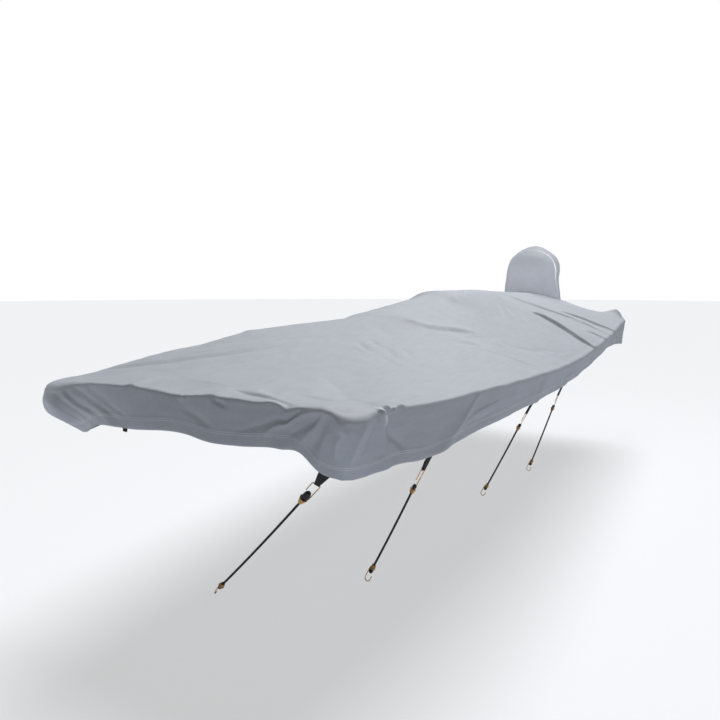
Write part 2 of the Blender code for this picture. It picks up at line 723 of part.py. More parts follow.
def build_ties(collection, webbing, metal, elastic):
    for number in range(len(LOOPS)):
        label = number + 1
        for side, starboard in (("port", False), ("starboard", True)):
            tie = Tie(number, starboard)
            name = f"loop_{side}_{label}"
            strap = add_object(name, tie.loop_mesh(name), collection, webbing)
            shell = strap.modifiers.new("webbing", "SOLIDIFY")
            shell.thickness = WEBBING
            shell.offset = 0.0
        tie = Tie(number)
        wire_object(f"hook_top_{label}", tie.upper_hook(), WIRE, 2, collection, metal)
        wide = tie.knob + WIRE + 2 * GAP
        top = tie.sleeve_top()
        build_end(f"top_{label}", top, -tie.pull, (tie.knob, tie.length, tie.sleeve), wide,
                  collection, metal, elastic)
        wire_object(f"cord_{label}", tie.cord_path(), CORD, 2, collection, elastic)
        start, down, _ = tie.lower_frame()
        wide = LOWER_END[0] + WIRE + 2 * GAP
        build_end(f"low_{label}", start + down * LOWER_END[2], down, LOWER_END, wide,
                  collection, metal, elastic)
        wire_object(f"hook_low_{label}", tie.lower_hook(), WIRE, 2, collection, metal)


def build_end(label, mouth, out, sizes, wide, collection, metal, elastic):
    """A tapered sleeve with its wide mouth at a place, and the cord's knob standing out of it."""
    radius, length, sleeve = sizes
    taper = ((0.0, wide), (0.15, wide), (1.0, SLEEVE_NECK))
    turned_object(f"sleeve_{label}", mouth, mouth - out * sleeve, taper, collection, metal)
    bulb = ((0.0, radius * 0.86), (0.3, radius), (0.7, radius), (1.0, radius * 0.6))
    start = mouth + out * GAP
    turned_object(f"knob_{label}", start, start + out * length, bulb, collection, elastic)


def main():
    clear_scene()
    cover = new_collection("boat_cover")
    cutters = new_collection("cutters")
    cloth = material("cover_cloth", COVER_COLOUR, 0.85)
    webbing = material("webbing", WEBBING_COLOUR, 0.8)
    metal = material("coated_wire", WIRE_COLOUR, 0.4, 0.6)
    elastic = material("elastic_cord", CORD_COLOUR, 0.75)
    build_body(cover, cutters, cloth)
    build_hood(cover, cutters, cloth)
    build_ties(cover, webbing, metal, elastic)


main()
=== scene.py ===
"""A fitted cloth cover for a flat-bowed open boat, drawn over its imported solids."""
import math

import bmesh
import bpy
import numpy as np
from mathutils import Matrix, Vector


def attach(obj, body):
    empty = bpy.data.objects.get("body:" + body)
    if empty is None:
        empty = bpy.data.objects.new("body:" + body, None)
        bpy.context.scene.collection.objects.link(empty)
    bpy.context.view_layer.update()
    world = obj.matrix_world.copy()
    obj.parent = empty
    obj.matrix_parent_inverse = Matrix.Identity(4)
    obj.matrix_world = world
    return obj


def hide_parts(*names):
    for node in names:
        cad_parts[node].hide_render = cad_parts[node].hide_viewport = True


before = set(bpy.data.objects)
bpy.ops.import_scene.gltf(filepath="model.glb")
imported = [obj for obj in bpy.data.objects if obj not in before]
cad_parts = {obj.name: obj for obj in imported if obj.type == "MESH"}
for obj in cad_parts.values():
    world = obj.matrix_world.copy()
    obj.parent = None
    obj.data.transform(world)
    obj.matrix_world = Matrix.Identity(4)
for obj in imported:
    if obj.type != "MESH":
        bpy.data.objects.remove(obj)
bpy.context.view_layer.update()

# ------------------------------------------------------------ camera
# A short lens at the height of a standing person's chest, off the port bow, which is
# where the cover is seen along its whole length.
CAMERA_AT = (1.55, -3.94, 0.0365)
LOOKS_DOWN = 6.9         # degrees below level
TURNED = 30.0            # degrees off the line of the boat


def add_object(name, data):
    """An object that shows a mesh, a curve, a lamp or a camera."""
    made = bpy.data.objects.new(name, data)
    bpy.context.scene.collection.objects.link(made)
    return made


lens = bpy.data.cameras.new("camera")
lens.sensor_width = 36.0
lens.lens = 31.0
lens.clip_end = 200.0
camera = add_object("camera", lens)
camera.location = CAMERA_AT
camera.rotation_euler = (math.radians(90 - LOOKS_DOWN), 0.0, math.radians(TURNED))
bpy.context.scene.camera = camera

# ------------------------------------------------------------ floor and light
# A plain pale floor at the height of the ground under a trailer, soft light from above and
# astern, and weak lamps on the hood and the starboard bow.
FLOOR_HEIGHT = -1.39
FLOOR_RADIUS = 60.0
GLOW = 0.55              # share of its own light in what the camera sees of the floor
BACKDROP = 1.0           # the walls' strength for the camera
SKYLIGHT = 0.08          # and for the cover
KEY_FROM = (0.01, 0.45, 0.92)      # towards the key light: astern and high
KEY_AT = (0.0, 2.0, 6.0)
KEY_STRENGTH = 3.0
KEY_SPREAD = 40.0        # degrees
PANEL_AT = (0.32, 0.6, 2.4)
PANEL_SIZE = (0.8, 4.5)
PANEL_POWER = 28.0
HOOD_AT = (0.02, 1.95, 0.22)
BOW_AT = (-0.72, -2.40, -0.45)
# where each narrow lamp is, what it points at, its power, its beam in degrees
LAMPS = (
    ((-4.2, -0.75, 0.6), HOOD_AT, 500.0, 9.0),
    ((4.7, 0.45, 0.6), HOOD_AT, 430.0, 9.0),
    ((1.1, -3.3, 0.5), HOOD_AT, 330.0, 9.0),
    ((-2.4, -5.2, -0.1), BOW_AT, 115.0, 13.0),
)


def lit_for_camera(tree, plain, seen, share, output):
    """Mixes a share of one shader over another, for what the camera sees directly."""
    ray = tree.nodes.new("ShaderNodeLightPath")
    part = tree.nodes.new("ShaderNodeMath")
    part.operation = "MULTIPLY"
    part.inputs[1].default_value = share
    mixed = tree.nodes.new("ShaderNodeMixShader")
    for source, target in ((ray.outputs["Is Camera Ray"], part.inputs[0]),
                           (part.outputs[0], mixed.inputs[0]),
                           (plain.outputs[0], mixed.inputs[1]),
                           (seen.outputs[0], mixed.inputs[2]),
                           (mixed.outputs[0], tree.nodes[output].inputs[0])):
        tree.links.new(source, target)


def add_light(name, kind, place, power, towards=None, **settings):
    """A lamp at a place that shines in a direction, or straight down."""
    lamp = bpy.data.lights.new(name, kind)
    lamp.energy = power
    for key, value in settings.items():
        setattr(lamp, key, value)
    holder = add_object(name, lamp)
    holder.location = place
    if towards is not None:
        holder.rotation_euler = towards.to_track_quat("-Z", "Y").to_euler()


floor_mesh = bpy.data.meshes.new("floor")
floor_shape = bmesh.new()
bmesh.ops.create_circle(floor_shape, cap_ends=True, segments=96, radius=FLOOR_RADIUS)
bmesh.ops.translate(floor_shape, verts=floor_shape.verts, vec=(0, 0, FLOOR_HEIGHT))
floor_shape.to_mesh(floor_mesh)
floor_shape.free()
floor = add_object("floor", floor_mesh)
floor_paint = bpy.data.materials.new("pale_floor")
floor_paint.use_nodes = True
floor_tree = floor_paint.node_tree
floor_shader = floor_tree.nodes["Principled BSDF"]
floor_shader.inputs["Base Color"].default_value = (0.79, 0.82, 0.87, 1)
floor_shader.inputs["Roughness"].default_value = 0.9
floor_shader.inputs["Specular IOR Level"].default_value = 0.1
# the camera sees the floor lit from within, as a light table is, so its shadow stays pale
lit_for_camera(floor_tree, floor_shader, floor_tree.nodes.new("ShaderNodeEmission"), GLOW,
               "Material Output")
floor_mesh.materials.append(floor_paint)

# a white studio wall for the camera, and a weak even light from it on the cover
studio = bpy.data.worlds.new("studio")
studio.use_nodes = True
walls = studio.node_tree.nodes["Background"]
seen_walls = studio.node_tree.nodes.new("ShaderNodeBackground")
for wall, strength in ((walls, SKYLIGHT), (seen_walls, BACKDROP)):
    wall.inputs["Color"].default_value = (1.0, 1.0, 1.0, 1)
    wall.inputs["Strength"].default_value = strength
lit_for_camera(studio.node_tree, walls, seen_walls, 1.0, "World Output")
bpy.context.scene.world = studio
bpy.context.scene.view_settings.view_transform = "Standard"

add_light("key", "SUN", KEY_AT, KEY_STRENGTH, -Vector(KEY_FROM),
          angle=math.radians(KEY_SPREAD))
# a long soft lamp over the port side
add_light("panel", "AREA", PANEL_AT, PANEL_POWER, shape="RECTANGLE", size=PANEL_SIZE[0],
          size_y=PANEL_SIZE[1])
# three narrow lamps even out the shades of the hood, and one those of the starboard bow
for number, (place, target, power, beam) in enumerate(LAMPS):
    add_light(f"lamp_{number}", "SPOT", place, power, Vector(target) - Vector(place),
              spot_size=math.radians(beam), spot_blend=0.7, shadow_soft_size=0.25)

# ------------------------------------------------------------ elastic cords
# Black braided elastic cord, 8 mm thick, stretched tight between two coils of wire: it runs
# through each coil to a knob. What it is hooked to holds it, so it only sags slightly.
CORD = 0.008
STRANDS = 8
BRAID_PITCH = 0.011      # length of one turn of a strand
BRAID_RELIEF = 0.00022
# hook's crossing in the loop, far end of the cord, direction across the strap, sag
TIES = (
    ((0.5223, -2.4230, -0.5662), (0.06, -2.345, -1.0335), (0.6559, 0.5085, -0.5579), 0.004),
    ((0.6770, -1.9794, -0.6127), (0.52, -2.050, -0.9735), (0.0712, 0.9732, -0.2186), 0.003),
    ((0.7536, -0.9103, -0.5953), (0.58, -0.950, -0.9735), (0.0686, 0.9886, -0.1338), 0.003),
    ((0.7745, -0.3075, -0.5957), (0.66, -0.390, -0.9735), (-0.0127, 0.9781, -0.2076), 0.003),
)
# direction down each tie, at its upper end
PULLS = (
    (-0.6966, 0.1230, -0.7068),
    (-0.3965, -0.1735, -0.9015),
    (-0.4199, -0.0931, -0.9028),
    (-0.2907, -0.2023, -0.9352),
)
# radius and length of the knob, length of the wire coil
UPPER_ENDS = (
    (0.0115, 0.030, 0.030),
    (0.0080, 0.014, 0.022),
    (0.0080, 0.014, 0.022),
    (0.0080, 0.014, 0.022),
)
LOWER_END = (0.0080, 0.014, 0.022)
UPPER_SHANK = 0.076      # strap to coil
GAP = 0.0003             # between pieces that touch
CORD_STEPS = 180
COIL_STEPS = 16          # points of the cord inside each coil
COIL_END = 0.001         # the first of them is this far from the coil's mouth


def unit(vector):
    vector = np.asarray(vector, float)
    return vector / np.linalg.norm(vector)


def link(name, mesh, material):
    """A mesh as a piece that rides on the cover."""
    piece = add_object(name, mesh)
    mesh.materials.append(material)
    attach(piece, "root")
    return piece


def stands_for(node):
    """Hides the solid that a piece replaces."""
    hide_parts(node)


def frames_along(path):
    """Two directions square to a path at each of its points, without twist."""
    tangents = np.gradient(path, axis=0)
    tangents /= np.linalg.norm(tangents, axis=1, keepdims=True)
    side = unit(np.cross(tangents[0], (0.31, 0.82, 0.48)))
    sides = []
    for tangent in tangents:
        side = unit(side - tangent * np.dot(side, tangent))
        sides.append(side)
    sides = np.array(sides)
    return sides, np.cross(tangents, sides)


def braided_tube(name, path, radius, material):
    """A closed tube with the low relief of a braid; U runs round it and V along it."""
    sides, thirds = frames_along(path)
    along = np.concatenate(((0,), np.cumsum(np.linalg.norm(np.diff(path, axis=0), axis=1))))
    around = STRANDS * 3
    turn = 2 * math.pi * np.arange(around) / around
    twist = 2 * math.pi * along[:, None] / BRAID_PITCH
    relief = np.maximum(np.cos(STRANDS * (turn + twist / 4)),
                        np.cos(STRANDS * (turn - twist / 4)))
    reach = np.asarray(radius)[..., None] + BRAID_RELIEF * relief
    spokes = (np.cos(turn)[None, :, None] * sides[:, None] +
              np.sin(turn)[None, :, None] * thirds[:, None])
    points = path[:, None] + spokes * reach[..., None]
    rows = len(path)
    corners = points.reshape(-1, 3).tolist() + [path[0].tolist(), path[-1].tolist()]
    faces, uvs = [], []
    for row in range(rows - 1):
        for k in range(around):
            a, b = row * around + k, row * around + (k + 1) % around
            faces.append((a, b, b + around, a + around))
            uvs += [(k / around, along[row]), ((k + 1) / around, along[row]),
                    ((k + 1) / around, along[row + 1]), (k / around, along[row + 1])]
    for k in range(around):
        following = (k + 1) % around
        faces.append((following, k, rows * around))
        faces.append((k + (rows - 1) * around, following + (rows - 1) * around,
                      rows * around + 1))
        uvs += [(0.5, 0.0)] * 3 + [(0.5, along[-1])] * 3
    mesh = bpy.data.meshes.new(name)
    mesh.from_pydata(corners, [], faces)
    layer = mesh.uv_layers.new(name="braid")
    layer.data.foreach_set("uv", np.array(uvs, np.float32).ravel())
    mesh.shade_smooth()
    mesh.set_sharp_from_angle(angle=math.radians(70))
    return link(name, mesh, material)


class Nodes:
    """Short hand for a material's nodes: each call adds one and joins its inputs."""

    def __init__(self, name):
        self.material = bpy.data.materials.new(name)
        self.material.use_nodes = True
        self.tree = self.material.node_tree
        self.shader = self.tree.nodes["Principled BSDF"]

    def add(self, kind, inputs=(), output=0, **settings):
        made = self.tree.nodes.new(kind)
        for key, value in settings.items():
            setattr(made, key, value)
        for key, value in dict(inputs).items():
            self.join(made, key, value)
        return made.outputs[output]

    def join(self, made, key, value):
        if isinstance(value, bpy.types.NodeSocket):
            self.tree.links.new(value, made.inputs[key])
        else:
            made.inputs[key].default_value = value

    def maths(self, operation, a, b=0.0):
        return self.add("ShaderNodeMath", {0: a, 1: b}, operation=operation)

    def uv(self, layer):
        """The two coordinates of one of the piece's own maps."""
        split = self.add("ShaderNodeSeparateXYZ",
                         {0: self.add("ShaderNodeUVMap", uv_map=layer)}).node
        return split.outputs[0], split.outputs[1]

    def attribute(self, name):
        """A value stored at the points of the piece's mesh."""
        return self.add("ShaderNodeAttribute", output=2, attribute_name=name)

    def place(self):
        """A point's place in the part's own space."""
        return self.add("ShaderNodeTexCoord", output=3)

    def noise(self, scale, detail=2.0, stretch=(1, 1, 1)):
        """Noise in the part's own space, from 0 to 1."""
        spread = self.add("ShaderNodeMapping", {"Vector": self.place(), "Scale": stretch})
        return self.add("ShaderNodeTexNoise", {"Vector": spread, "Scale": scale,
                                               "Detail": detail})

    def ramp(self, value, low, high, start=0.0, end=1.0):
        """A value moved from one range to another, held at both ends."""
        return self.add("ShaderNodeMapRange", {"Value": value, "From Min": low,
                                               "From Max": high, "To Min": start,
                                               "To Max": end})

    def mix(self, share, first, second):
        """The first colour, with a share of the second one over it."""
        return self.add("ShaderNodeMix", {0: share, 6: first, 7: second}, 2,
                        data_type="RGBA")

    def bump(self, height, distance, strength, normal=None):
        inputs = {"Height": height, "Distance": distance, "Strength": strength}
        if normal is not None:
            inputs["Normal"] = normal
        return self.add("ShaderNodeBump", inputs)

    def finish(self, **sockets):
        for key, value in sockets.items():
            self.join(self.shader, key.replace("_", " "), value)
        return self.material


def braided_elastic():
    """Black polyester braid over rubber, dusty between the strands."""
    paint = Nodes("black_elastic")
    around, along = paint.uv("braid")
    turns = paint.maths("MULTIPLY", around, float(STRANDS))
    pitches = paint.maths("MULTIPLY", along, 2 / BRAID_PITCH)
    left, right = paint.maths("ADD", turns, pitches), paint.maths("SUBTRACT", turns, pitches)
    strand = paint.maths("MAXIMUM", paint.maths("PINGPONG", left, 0.5),
                         paint.maths("PINGPONG", right, 0.5))
    dust = paint.noise(60.0)
    colour = paint.mix(strand, (0.030, 0.030, 0.032, 1), (0.010, 0.010, 0.012, 1))
    colour = paint.mix(paint.ramp(dust, 0.5, 0.8, 0.0, 0.4), colour, (0.05, 0.05, 0.05, 1))
    return paint.finish(Base_Color=colour, Roughness=paint.ramp(dust, 0.3, 0.7, 0.6, 0.8),
                        Normal=paint.bump(strand, 0.0004, 0.6))


def cord_route(number):
    """Points down the middle of one cord, from its upper knob to its lower one."""
    bar, end, _, sag = TIES[number]
    pull = unit(PULLS[number])
    sleeve = UPPER_ENDS[number][2]
    start = np.array(bar) + pull * (UPPER_SHANK + sleeve + 2 * GAP)
    end = np.array(end)
    share = np.linspace(0, 1, CORD_STEPS)[:, None]
    route = start * (1 - share) + end * share
    route[:, 2] -= 4 * sag * (share * (1 - share))[:, 0]
    first = start - pull * np.linspace(sleeve, COIL_END, COIL_STEPS)[:, None]
    down = unit(route[-1] - route[-2])
    last = end + down * np.linspace(COIL_END, LOWER_END[2], COIL_STEPS)[:, None]
    return np.concatenate((first, route, last)), pull, down


black_elastic = braided_elastic()
cords = []
for number in range(len(TIES)):
    route, _, _ = cord_route(number)
    cord = braided_tube(f"tie_cord_{number + 1}", route, np.full(len(route), CORD / 2),
                        black_elastic)
    cords.append((cord, route))
    stands_for(f"cord_{number + 1}")

# ------------------------------------------------------------ hooks and coils
# Brass-coloured hard wire, 3.4 mm: each hook's shank runs into a tapering coil wound tight
# round the cord. The upper hook crosses its webbing loop and ends in a free leg.
WIRE = 0.0034
WIRE_DOME = 0.28         # length of a wire's domed end, in diameters
WIRE_TIP = 0.55          # width of its tip, in diameters
COIL_PITCH = 0.0037
COIL_TAPER = 0.8         # 1 is an even cone
COIL_CUTS = 20           # points in each turn
HOOK_CORNER = 0.006
HOOK_RETURN = 0.042
HOOK_ROOM = 0.005        # from the strap's edge to the hook's side
STRAP_AT_HOOK = 0.018
LOWER_SHANK = 0.036
LOWER_BEND = 0.011
LOWER_TIP = 0.014


def plated_wire():
    """Yellow passivated steel wire with dull patches and fine drawing marks."""
    paint = Nodes("brass_wire")
    patch = paint.noise(90.0, 4.0)
    marks = paint.noise(600.0, 2.0, (1, 1, 0.15))
    colour = paint.mix(paint.ramp(patch, 0.35, 0.7), (0.80, 0.50, 0.20, 1),
                       (0.55, 0.27, 0.10, 1))
    colour = paint.mix(paint.ramp(patch, 0.62, 0.75, 0, 0.5), colour, (0.25, 0.13, 0.06, 1))
    paint.shader.inputs["Metallic"].default_value = 0.85
    return paint.finish(Base_Color=colour, Roughness=paint.ramp(patch, 0.3, 0.7, 0.28, 0.5),
                        Normal=paint.bump(marks, 0.0001, 0.3))


def select_only(piece):
    """Makes one piece the one that Blender's tools work on."""
    bpy.ops.object.select_all(action="DESELECT")
    piece.select_set(True)
    bpy.context.view_layer.objects.active = piece


def wire_piece(name, node, path, material):
    """Round wire along a path, with domed ends, turned into a mesh."""
    curve = bpy.data.curves.new(name, "CURVE")
    curve.dimensions = "3D"
    curve.bevel_depth = WIRE / 2
    curve.bevel_resolution = 4
    curve.use_fill_caps = True
    spline = curve.splines.new("POLY")
    ends = (unit(path[0] - path[1]), unit(path[-1] - path[-2]))
    points = [path[0] + ends[0] * WIRE * WIRE_DOME, *path, path[-1] + ends[1] * WIRE * WIRE_DOME]
    spline.points.add(len(points) - 1)
    for point, place in zip(spline.points, points):
        point.co = (*place, 1.0)
    for point in (spline.points[0], spline.points[-1]):
        point.radius = WIRE_TIP
    piece = add_object(name, curve)
    select_only(piece)
    bpy.ops.object.convert(target="MESH")
    piece.data.materials.clear()
    piece.data.materials.append(material)
    piece.data.shade_smooth()
    piece.data.set_sharp_from_angle(angle=math.radians(50))
    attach(piece, "root")
    stands_for(node)
    return piece


def rounded_corner(corner, before, after, radius, count=8):
    """Points of a bend between two straight runs."""
    into, away = unit(before - corner), unit(after - corner)
    t = np.linspace(0, 1, count)[:, None]
    return corner + (into * (1 - t)**2 + away * t**2) * radius


def coil_path(mouth, out, start_side, wide, length):
    """A tapering coil from the wide mouth down to the cord, laid turn on turn."""
    out = unit(out)
    third = np.cross(out, start_side)
    turns = (length - WIRE) / COIL_PITCH
    t = np.linspace(0, 1, int(turns * COIL_CUTS))[:, None]
    angle = 2 * math.pi * turns * t
    radius = wide - WIRE / 2 + (CORD / 2 + WIRE - wide) * t**COIL_TAPER
    ring = np.cos(angle) * start_side + np.sin(angle) * third
    return mouth - out * (WIRE / 2 + (length - WIRE) * t) + ring * radius


brass_wire = plated_wire()
hardware = []
for number, (bar, end, across, _) in enumerate(TIES):
    label = number + 1
    _, pull, down = cord_route(number)
    bar, across = np.array(bar), unit(across)
    knob, _, sleeve = UPPER_ENDS[number]
    half = STRAP_AT_HOOK / 2 + HOOK_ROOM
    beside = knob + GAP + WIRE / 2
    foot = bar + pull * UPPER_SHANK + across * beside
    right, left = bar + across * half, bar - across * half
    hook_path = np.concatenate((
        foot[None],
        rounded_corner(right, foot, left, HOOK_CORNER),
        rounded_corner(left, right, left + pull, HOOK_CORNER),
        (left + pull * HOOK_RETURN)[None],
    ))
    wire_piece(f"upper_hook_{label}", f"hook_top_{label}", hook_path, brass_wire)
    mouth = bar + pull * (UPPER_SHANK + GAP)
    wire_piece(f"upper_coil_{label}", f"sleeve_top_{label}",
               coil_path(mouth, -pull, across, knob + WIRE + 2 * GAP, sleeve), brass_wire)

    normal = np.cross(across, pull)
    side = unit(normal - down * np.dot(normal, down))
    mouth = np.array(end) + down * (LOWER_END[2] + GAP)
    wide = LOWER_END[0] + WIRE + 2 * GAP
    coil = wire_piece(f"lower_coil_{label}", f"sleeve_low_{label}",
                      coil_path(mouth, down, side, wide, LOWER_END[2]), brass_wire)
    top = mouth + side * (LOWER_END[0] + GAP + WIRE / 2)
    base = top + down * LOWER_SHANK
    turn = np.linspace(0, math.pi, 16)[1:, None]
    bend = base + (down * np.sin(turn) - side * (1 - np.cos(turn))) * LOWER_BEND
    tip = bend[-1] - down * LOWER_TIP
    lower_path = np.concatenate((top[None], base[None], bend, tip[None]))
    lower_hook = wire_piece(f"lower_hook_{label}", f"hook_low_{label}", lower_path, brass_wire)
    hardware.append([coil, lower_hook])

# ------------------------------------------------------------ knobs of the cords
# The cord's own end, swollen and cut square, which the coil can't pull over. The first one
# is a doubled end and thicker.
KNOB_STEPS = 26
KNOB_NECK = 0.86         # width at the coil, as a share of the greatest
KNOB_SWELL = 1.25        # the swell ends after 1 / this share of the length
KNOB_ROUNDS = 0.72       # share of the length where the end starts to round off
KNOB_ROUNDING = 0.62     # and how much of it rounds off
for number, (bar, end, *_) in enumerate(TIES):
    label = number + 1
    _, pull, down = cord_route(number)
    upper_mouth = np.array(bar) + pull * UPPER_SHANK
    lower_mouth = np.array(end) + down * (LOWER_END[2] + 2 * GAP)
    for place, mouth, out, sizes in (("top", upper_mouth, -pull, UPPER_ENDS[number]),
                                     ("low", lower_mouth, down, LOWER_END)):
        radius, length, _ = sizes
        t = np.linspace(0, 1, KNOB_STEPS)
        swell = np.sin(math.pi * np.clip(t * KNOB_SWELL, 0, 1))
        rounding = np.clip((t - KNOB_ROUNDS) / (1 - KNOB_ROUNDS), 0, 1)**2
        girths = radius * (KNOB_NECK + (1 - KNOB_NECK) * swell)
        girths *= np.sqrt(1 - KNOB_ROUNDING * rounding)
        path = mouth + out * (length * t)[:, None]
        knob = braided_tube(f"knob_{place}_{label}_braid", path, girths - BRAID_RELIEF,
                            black_elastic)
        stands_for(f"knob_{place}_{label}")
        if place == "low":
            hardware[number].append(knob)
for (cord, route), pieces in zip(cords, hardware):
    length = float(np.linalg.norm(np.diff(route, axis=0), axis=1).sum())

# ------------------------------------------------------------ body of the cover
# Two panels of coated polyester, cut to the hull and lapped in one seam across the boat. What
# is in the boat holds the cloth up; it bends over the gunwale, falls to a stitched hem, and
# its slack lies in folds at the bow corners and towards the stern.
LENGTH = 4.70            # bow edge to stern edge
ORIGIN_Y = 2.45          # the part's origin, metres aft of the bow edge
ORIGIN_Z = 0.3335        # and metres above it
EDGE_RADIUS = 0.020      # bend of the cloth over the gunwale
EDGE_DROP = 0.014        # height of the bend where the top is level
EDGE_TIGHTNESS = 2.2     # 1 is an even bend, more is a tighter one
# where the bend is slacker: by what share, from which station, over what length
STERN_EASE = (0.6, 3.1, 0.8)
# and at the port bow corner: by what share, metres along the rim, half width
CORNER_EASE = (0.5, 1.30, 0.07)
EDGE_SLOPES = (-0.1, 0.7)          # least and greatest slope with which the bend starts
EDGE_BLEND = 4           # points to each side over which that slope is evened out
BOW_CROWN = 0.012        # rise of the bow edge at its middle
CORNER_RADIUS = 0.060    # the four corners, seen from above
SEAM_Y = 1.54            # cross seam between the two panels
STERN_LEAN = -0.020
STERN_HEM = -0.172
SKIRT_WAVE = (0.003, 0.46)
# station, half beam, height of the rim, height of the hem, lean of the skirt (out is plus)
SIDES = np.array((
    (0.00, 0.655, 0.006, -0.210, -0.060),
    (0.10, 0.663, 0.003, -0.214, -0.045),
    (0.22, 0.675, -0.006, -0.206, -0.028),
    (0.45, 0.707, -0.024, -0.230, -0.026),
    (0.65, 0.734, -0.028, -0.216, -0.030),
    (1.00, 0.771, -0.036, -0.208, -0.036),
    (1.45, 0.798, -0.050, -0.212, -0.044),
    (1.95, 0.814, -0.062, -0.214, -0.046),
    (2.50, 0.818, -0.062, -0.202, -0.040),
    (3.10, 0.818, -0.040, -0.166, -0.032),
    (3.75, 0.816, 0.000, -0.118, -0.026),
    (4.30, 0.804, 0.042, -0.140, -0.022),
    (4.70, 0.792, 0.066, -0.172, -0.020),
))
# share of the half beam (port is plus), height of the hem, lean of the skirt
BOW = np.array((
    (-1.00, -0.210, -0.080),
    (-0.84, -0.196, -0.050),
    (-0.66, -0.150, -0.010),
    (-0.40, -0.144, -0.004),
    (0.06, -0.130, -0.004),
    (0.16, -0.142, -0.004),
    (0.38, -0.140, -0.006),
    (0.64, -0.126, -0.008),
    (0.76, -0.134, -0.012),
    (0.84, -0.190, -0.030),
    (0.92, -0.206, -0.050),
    (1.00, -0.210, -0.060),
))
# share of the half beam, rise of the stern edge over its corner
STERN = np.array((
    (0.00, 0.190),
    (0.28, 0.162),
    (0.56, 0.078),
    (0.72, 0.052),
    (0.84, 0.066),
    (0.93, 0.076),
    (1.00, 0.010),
))
# ridges that hold the top up: from x, y, z to x, y, z, width, fall at that width, power
RIDGES = (
    (-0.60, 0.05, 0.006, -0.34, 0.78, 0.161, 0.05, 0.02, 2),
    (-0.34, 0.78, 0.161, 0.00, 1.36, 0.216, 0.07, 0.02, 2),
    (0.00, 1.36, 0.216, 0.12, 1.42, 0.212, 0.07, 0.02, 2),
    (-0.12, 1.36, 0.214, 0.02, 2.18, 0.334, 0.06, 0.03, 2),
    (0.02, 2.18, 0.334, 0.04, 2.70, 0.336, 0.14, 0.02, 3),
    (0.04, 2.70, 0.336, 0.00, 3.60, 0.312, 0.10, 0.02, 3),
    (0.00, 3.60, 0.312, 0.00, 4.22, 0.300, 0.12, 0.02, 3),
    (0.00, 4.24, 0.292, 0.00, 4.66, 0.262, 0.20, 0.02, 6),
)
# broad folds on the top: points, width, height, steep flank (-1 bow side, 1 stern side)
TOP_FOLDS = (
    (((0.32, 1.47), (0.82, 1.64)), 0.050, 0.006, 0.0),
    (((0.44, 1.66), (0.82, 1.84)), 0.050, 0.005, 0.0),
    (((-0.52, 0.16), (-0.06, 0.82)), 0.045, 0.007, 0.0),
    (((-0.36, 0.14), (0.06, 0.72)), 0.040, 0.005, 0.0),
    (((0.28, 0.62), (0.62, 0.14)), 0.080, -0.009, 0.0),
    (((0.61, -0.03), (0.72, 0.08)), 0.040, -0.007, 0.0),
    (((0.57, -0.13), (0.585, 0.17)), 0.060, 0.013, 0.0),
    (((-0.02, -0.15), (0.0, 0.13)), 0.090, -0.011, 0.0),
    (((0.14, -0.08), (0.13, 0.10)), 0.022, 0.005, 0.0),
    (((-0.64, 0.02), (-0.57, 0.15), (-0.50, 0.30), (-0.41, 0.52)), 0.060, 0.013, 0.0),
    (((0.52, 0.20), (0.72, 0.15)), 0.028, 0.014, 0.4),
    (((0.60, 0.26), (0.74, 0.24)), 0.028, 0.007, 0.0),
    (((0.20, 0.12), (0.46, -0.03)), 0.030, 0.006, 0.4),
    (((-0.25, 0.12), (-0.235, -0.06)), 0.026, 0.009, 0.0),
    (((0.16, 1.37), (0.26, 1.435), (0.31, 1.53), (0.42, 1.75)), 0.075, 0.015, -0.80),
    # pleats of slack towards the stern, each with a sharp front
    (((0.36, 2.99), (0.50, 2.99), (0.62, 2.965), (0.73, 2.915), (0.88, 2.925)),
     0.085, 0.032, -0.90),
    (((0.08, 3.12), (0.22, 3.23), (0.42, 3.465), (0.56, 3.575), (0.86, 3.61)),
     0.065, 0.015, -0.88),
    (((0.42, 3.66), (0.54, 3.745), (0.73, 3.79), (0.88, 3.87)), 0.060, 0.018, -0.88),
    (((0.54, 3.51), (0.64, 3.57), (0.74, 3.585)), 0.030, 0.009, -0.75),
    (((0.68, 3.35), (0.77, 3.38), (0.87, 3.39)), 0.050, 0.013, -0.85),
    (((0.26, 4.08), (0.46, 4.21)), 0.040, 0.006, -0.60),
)
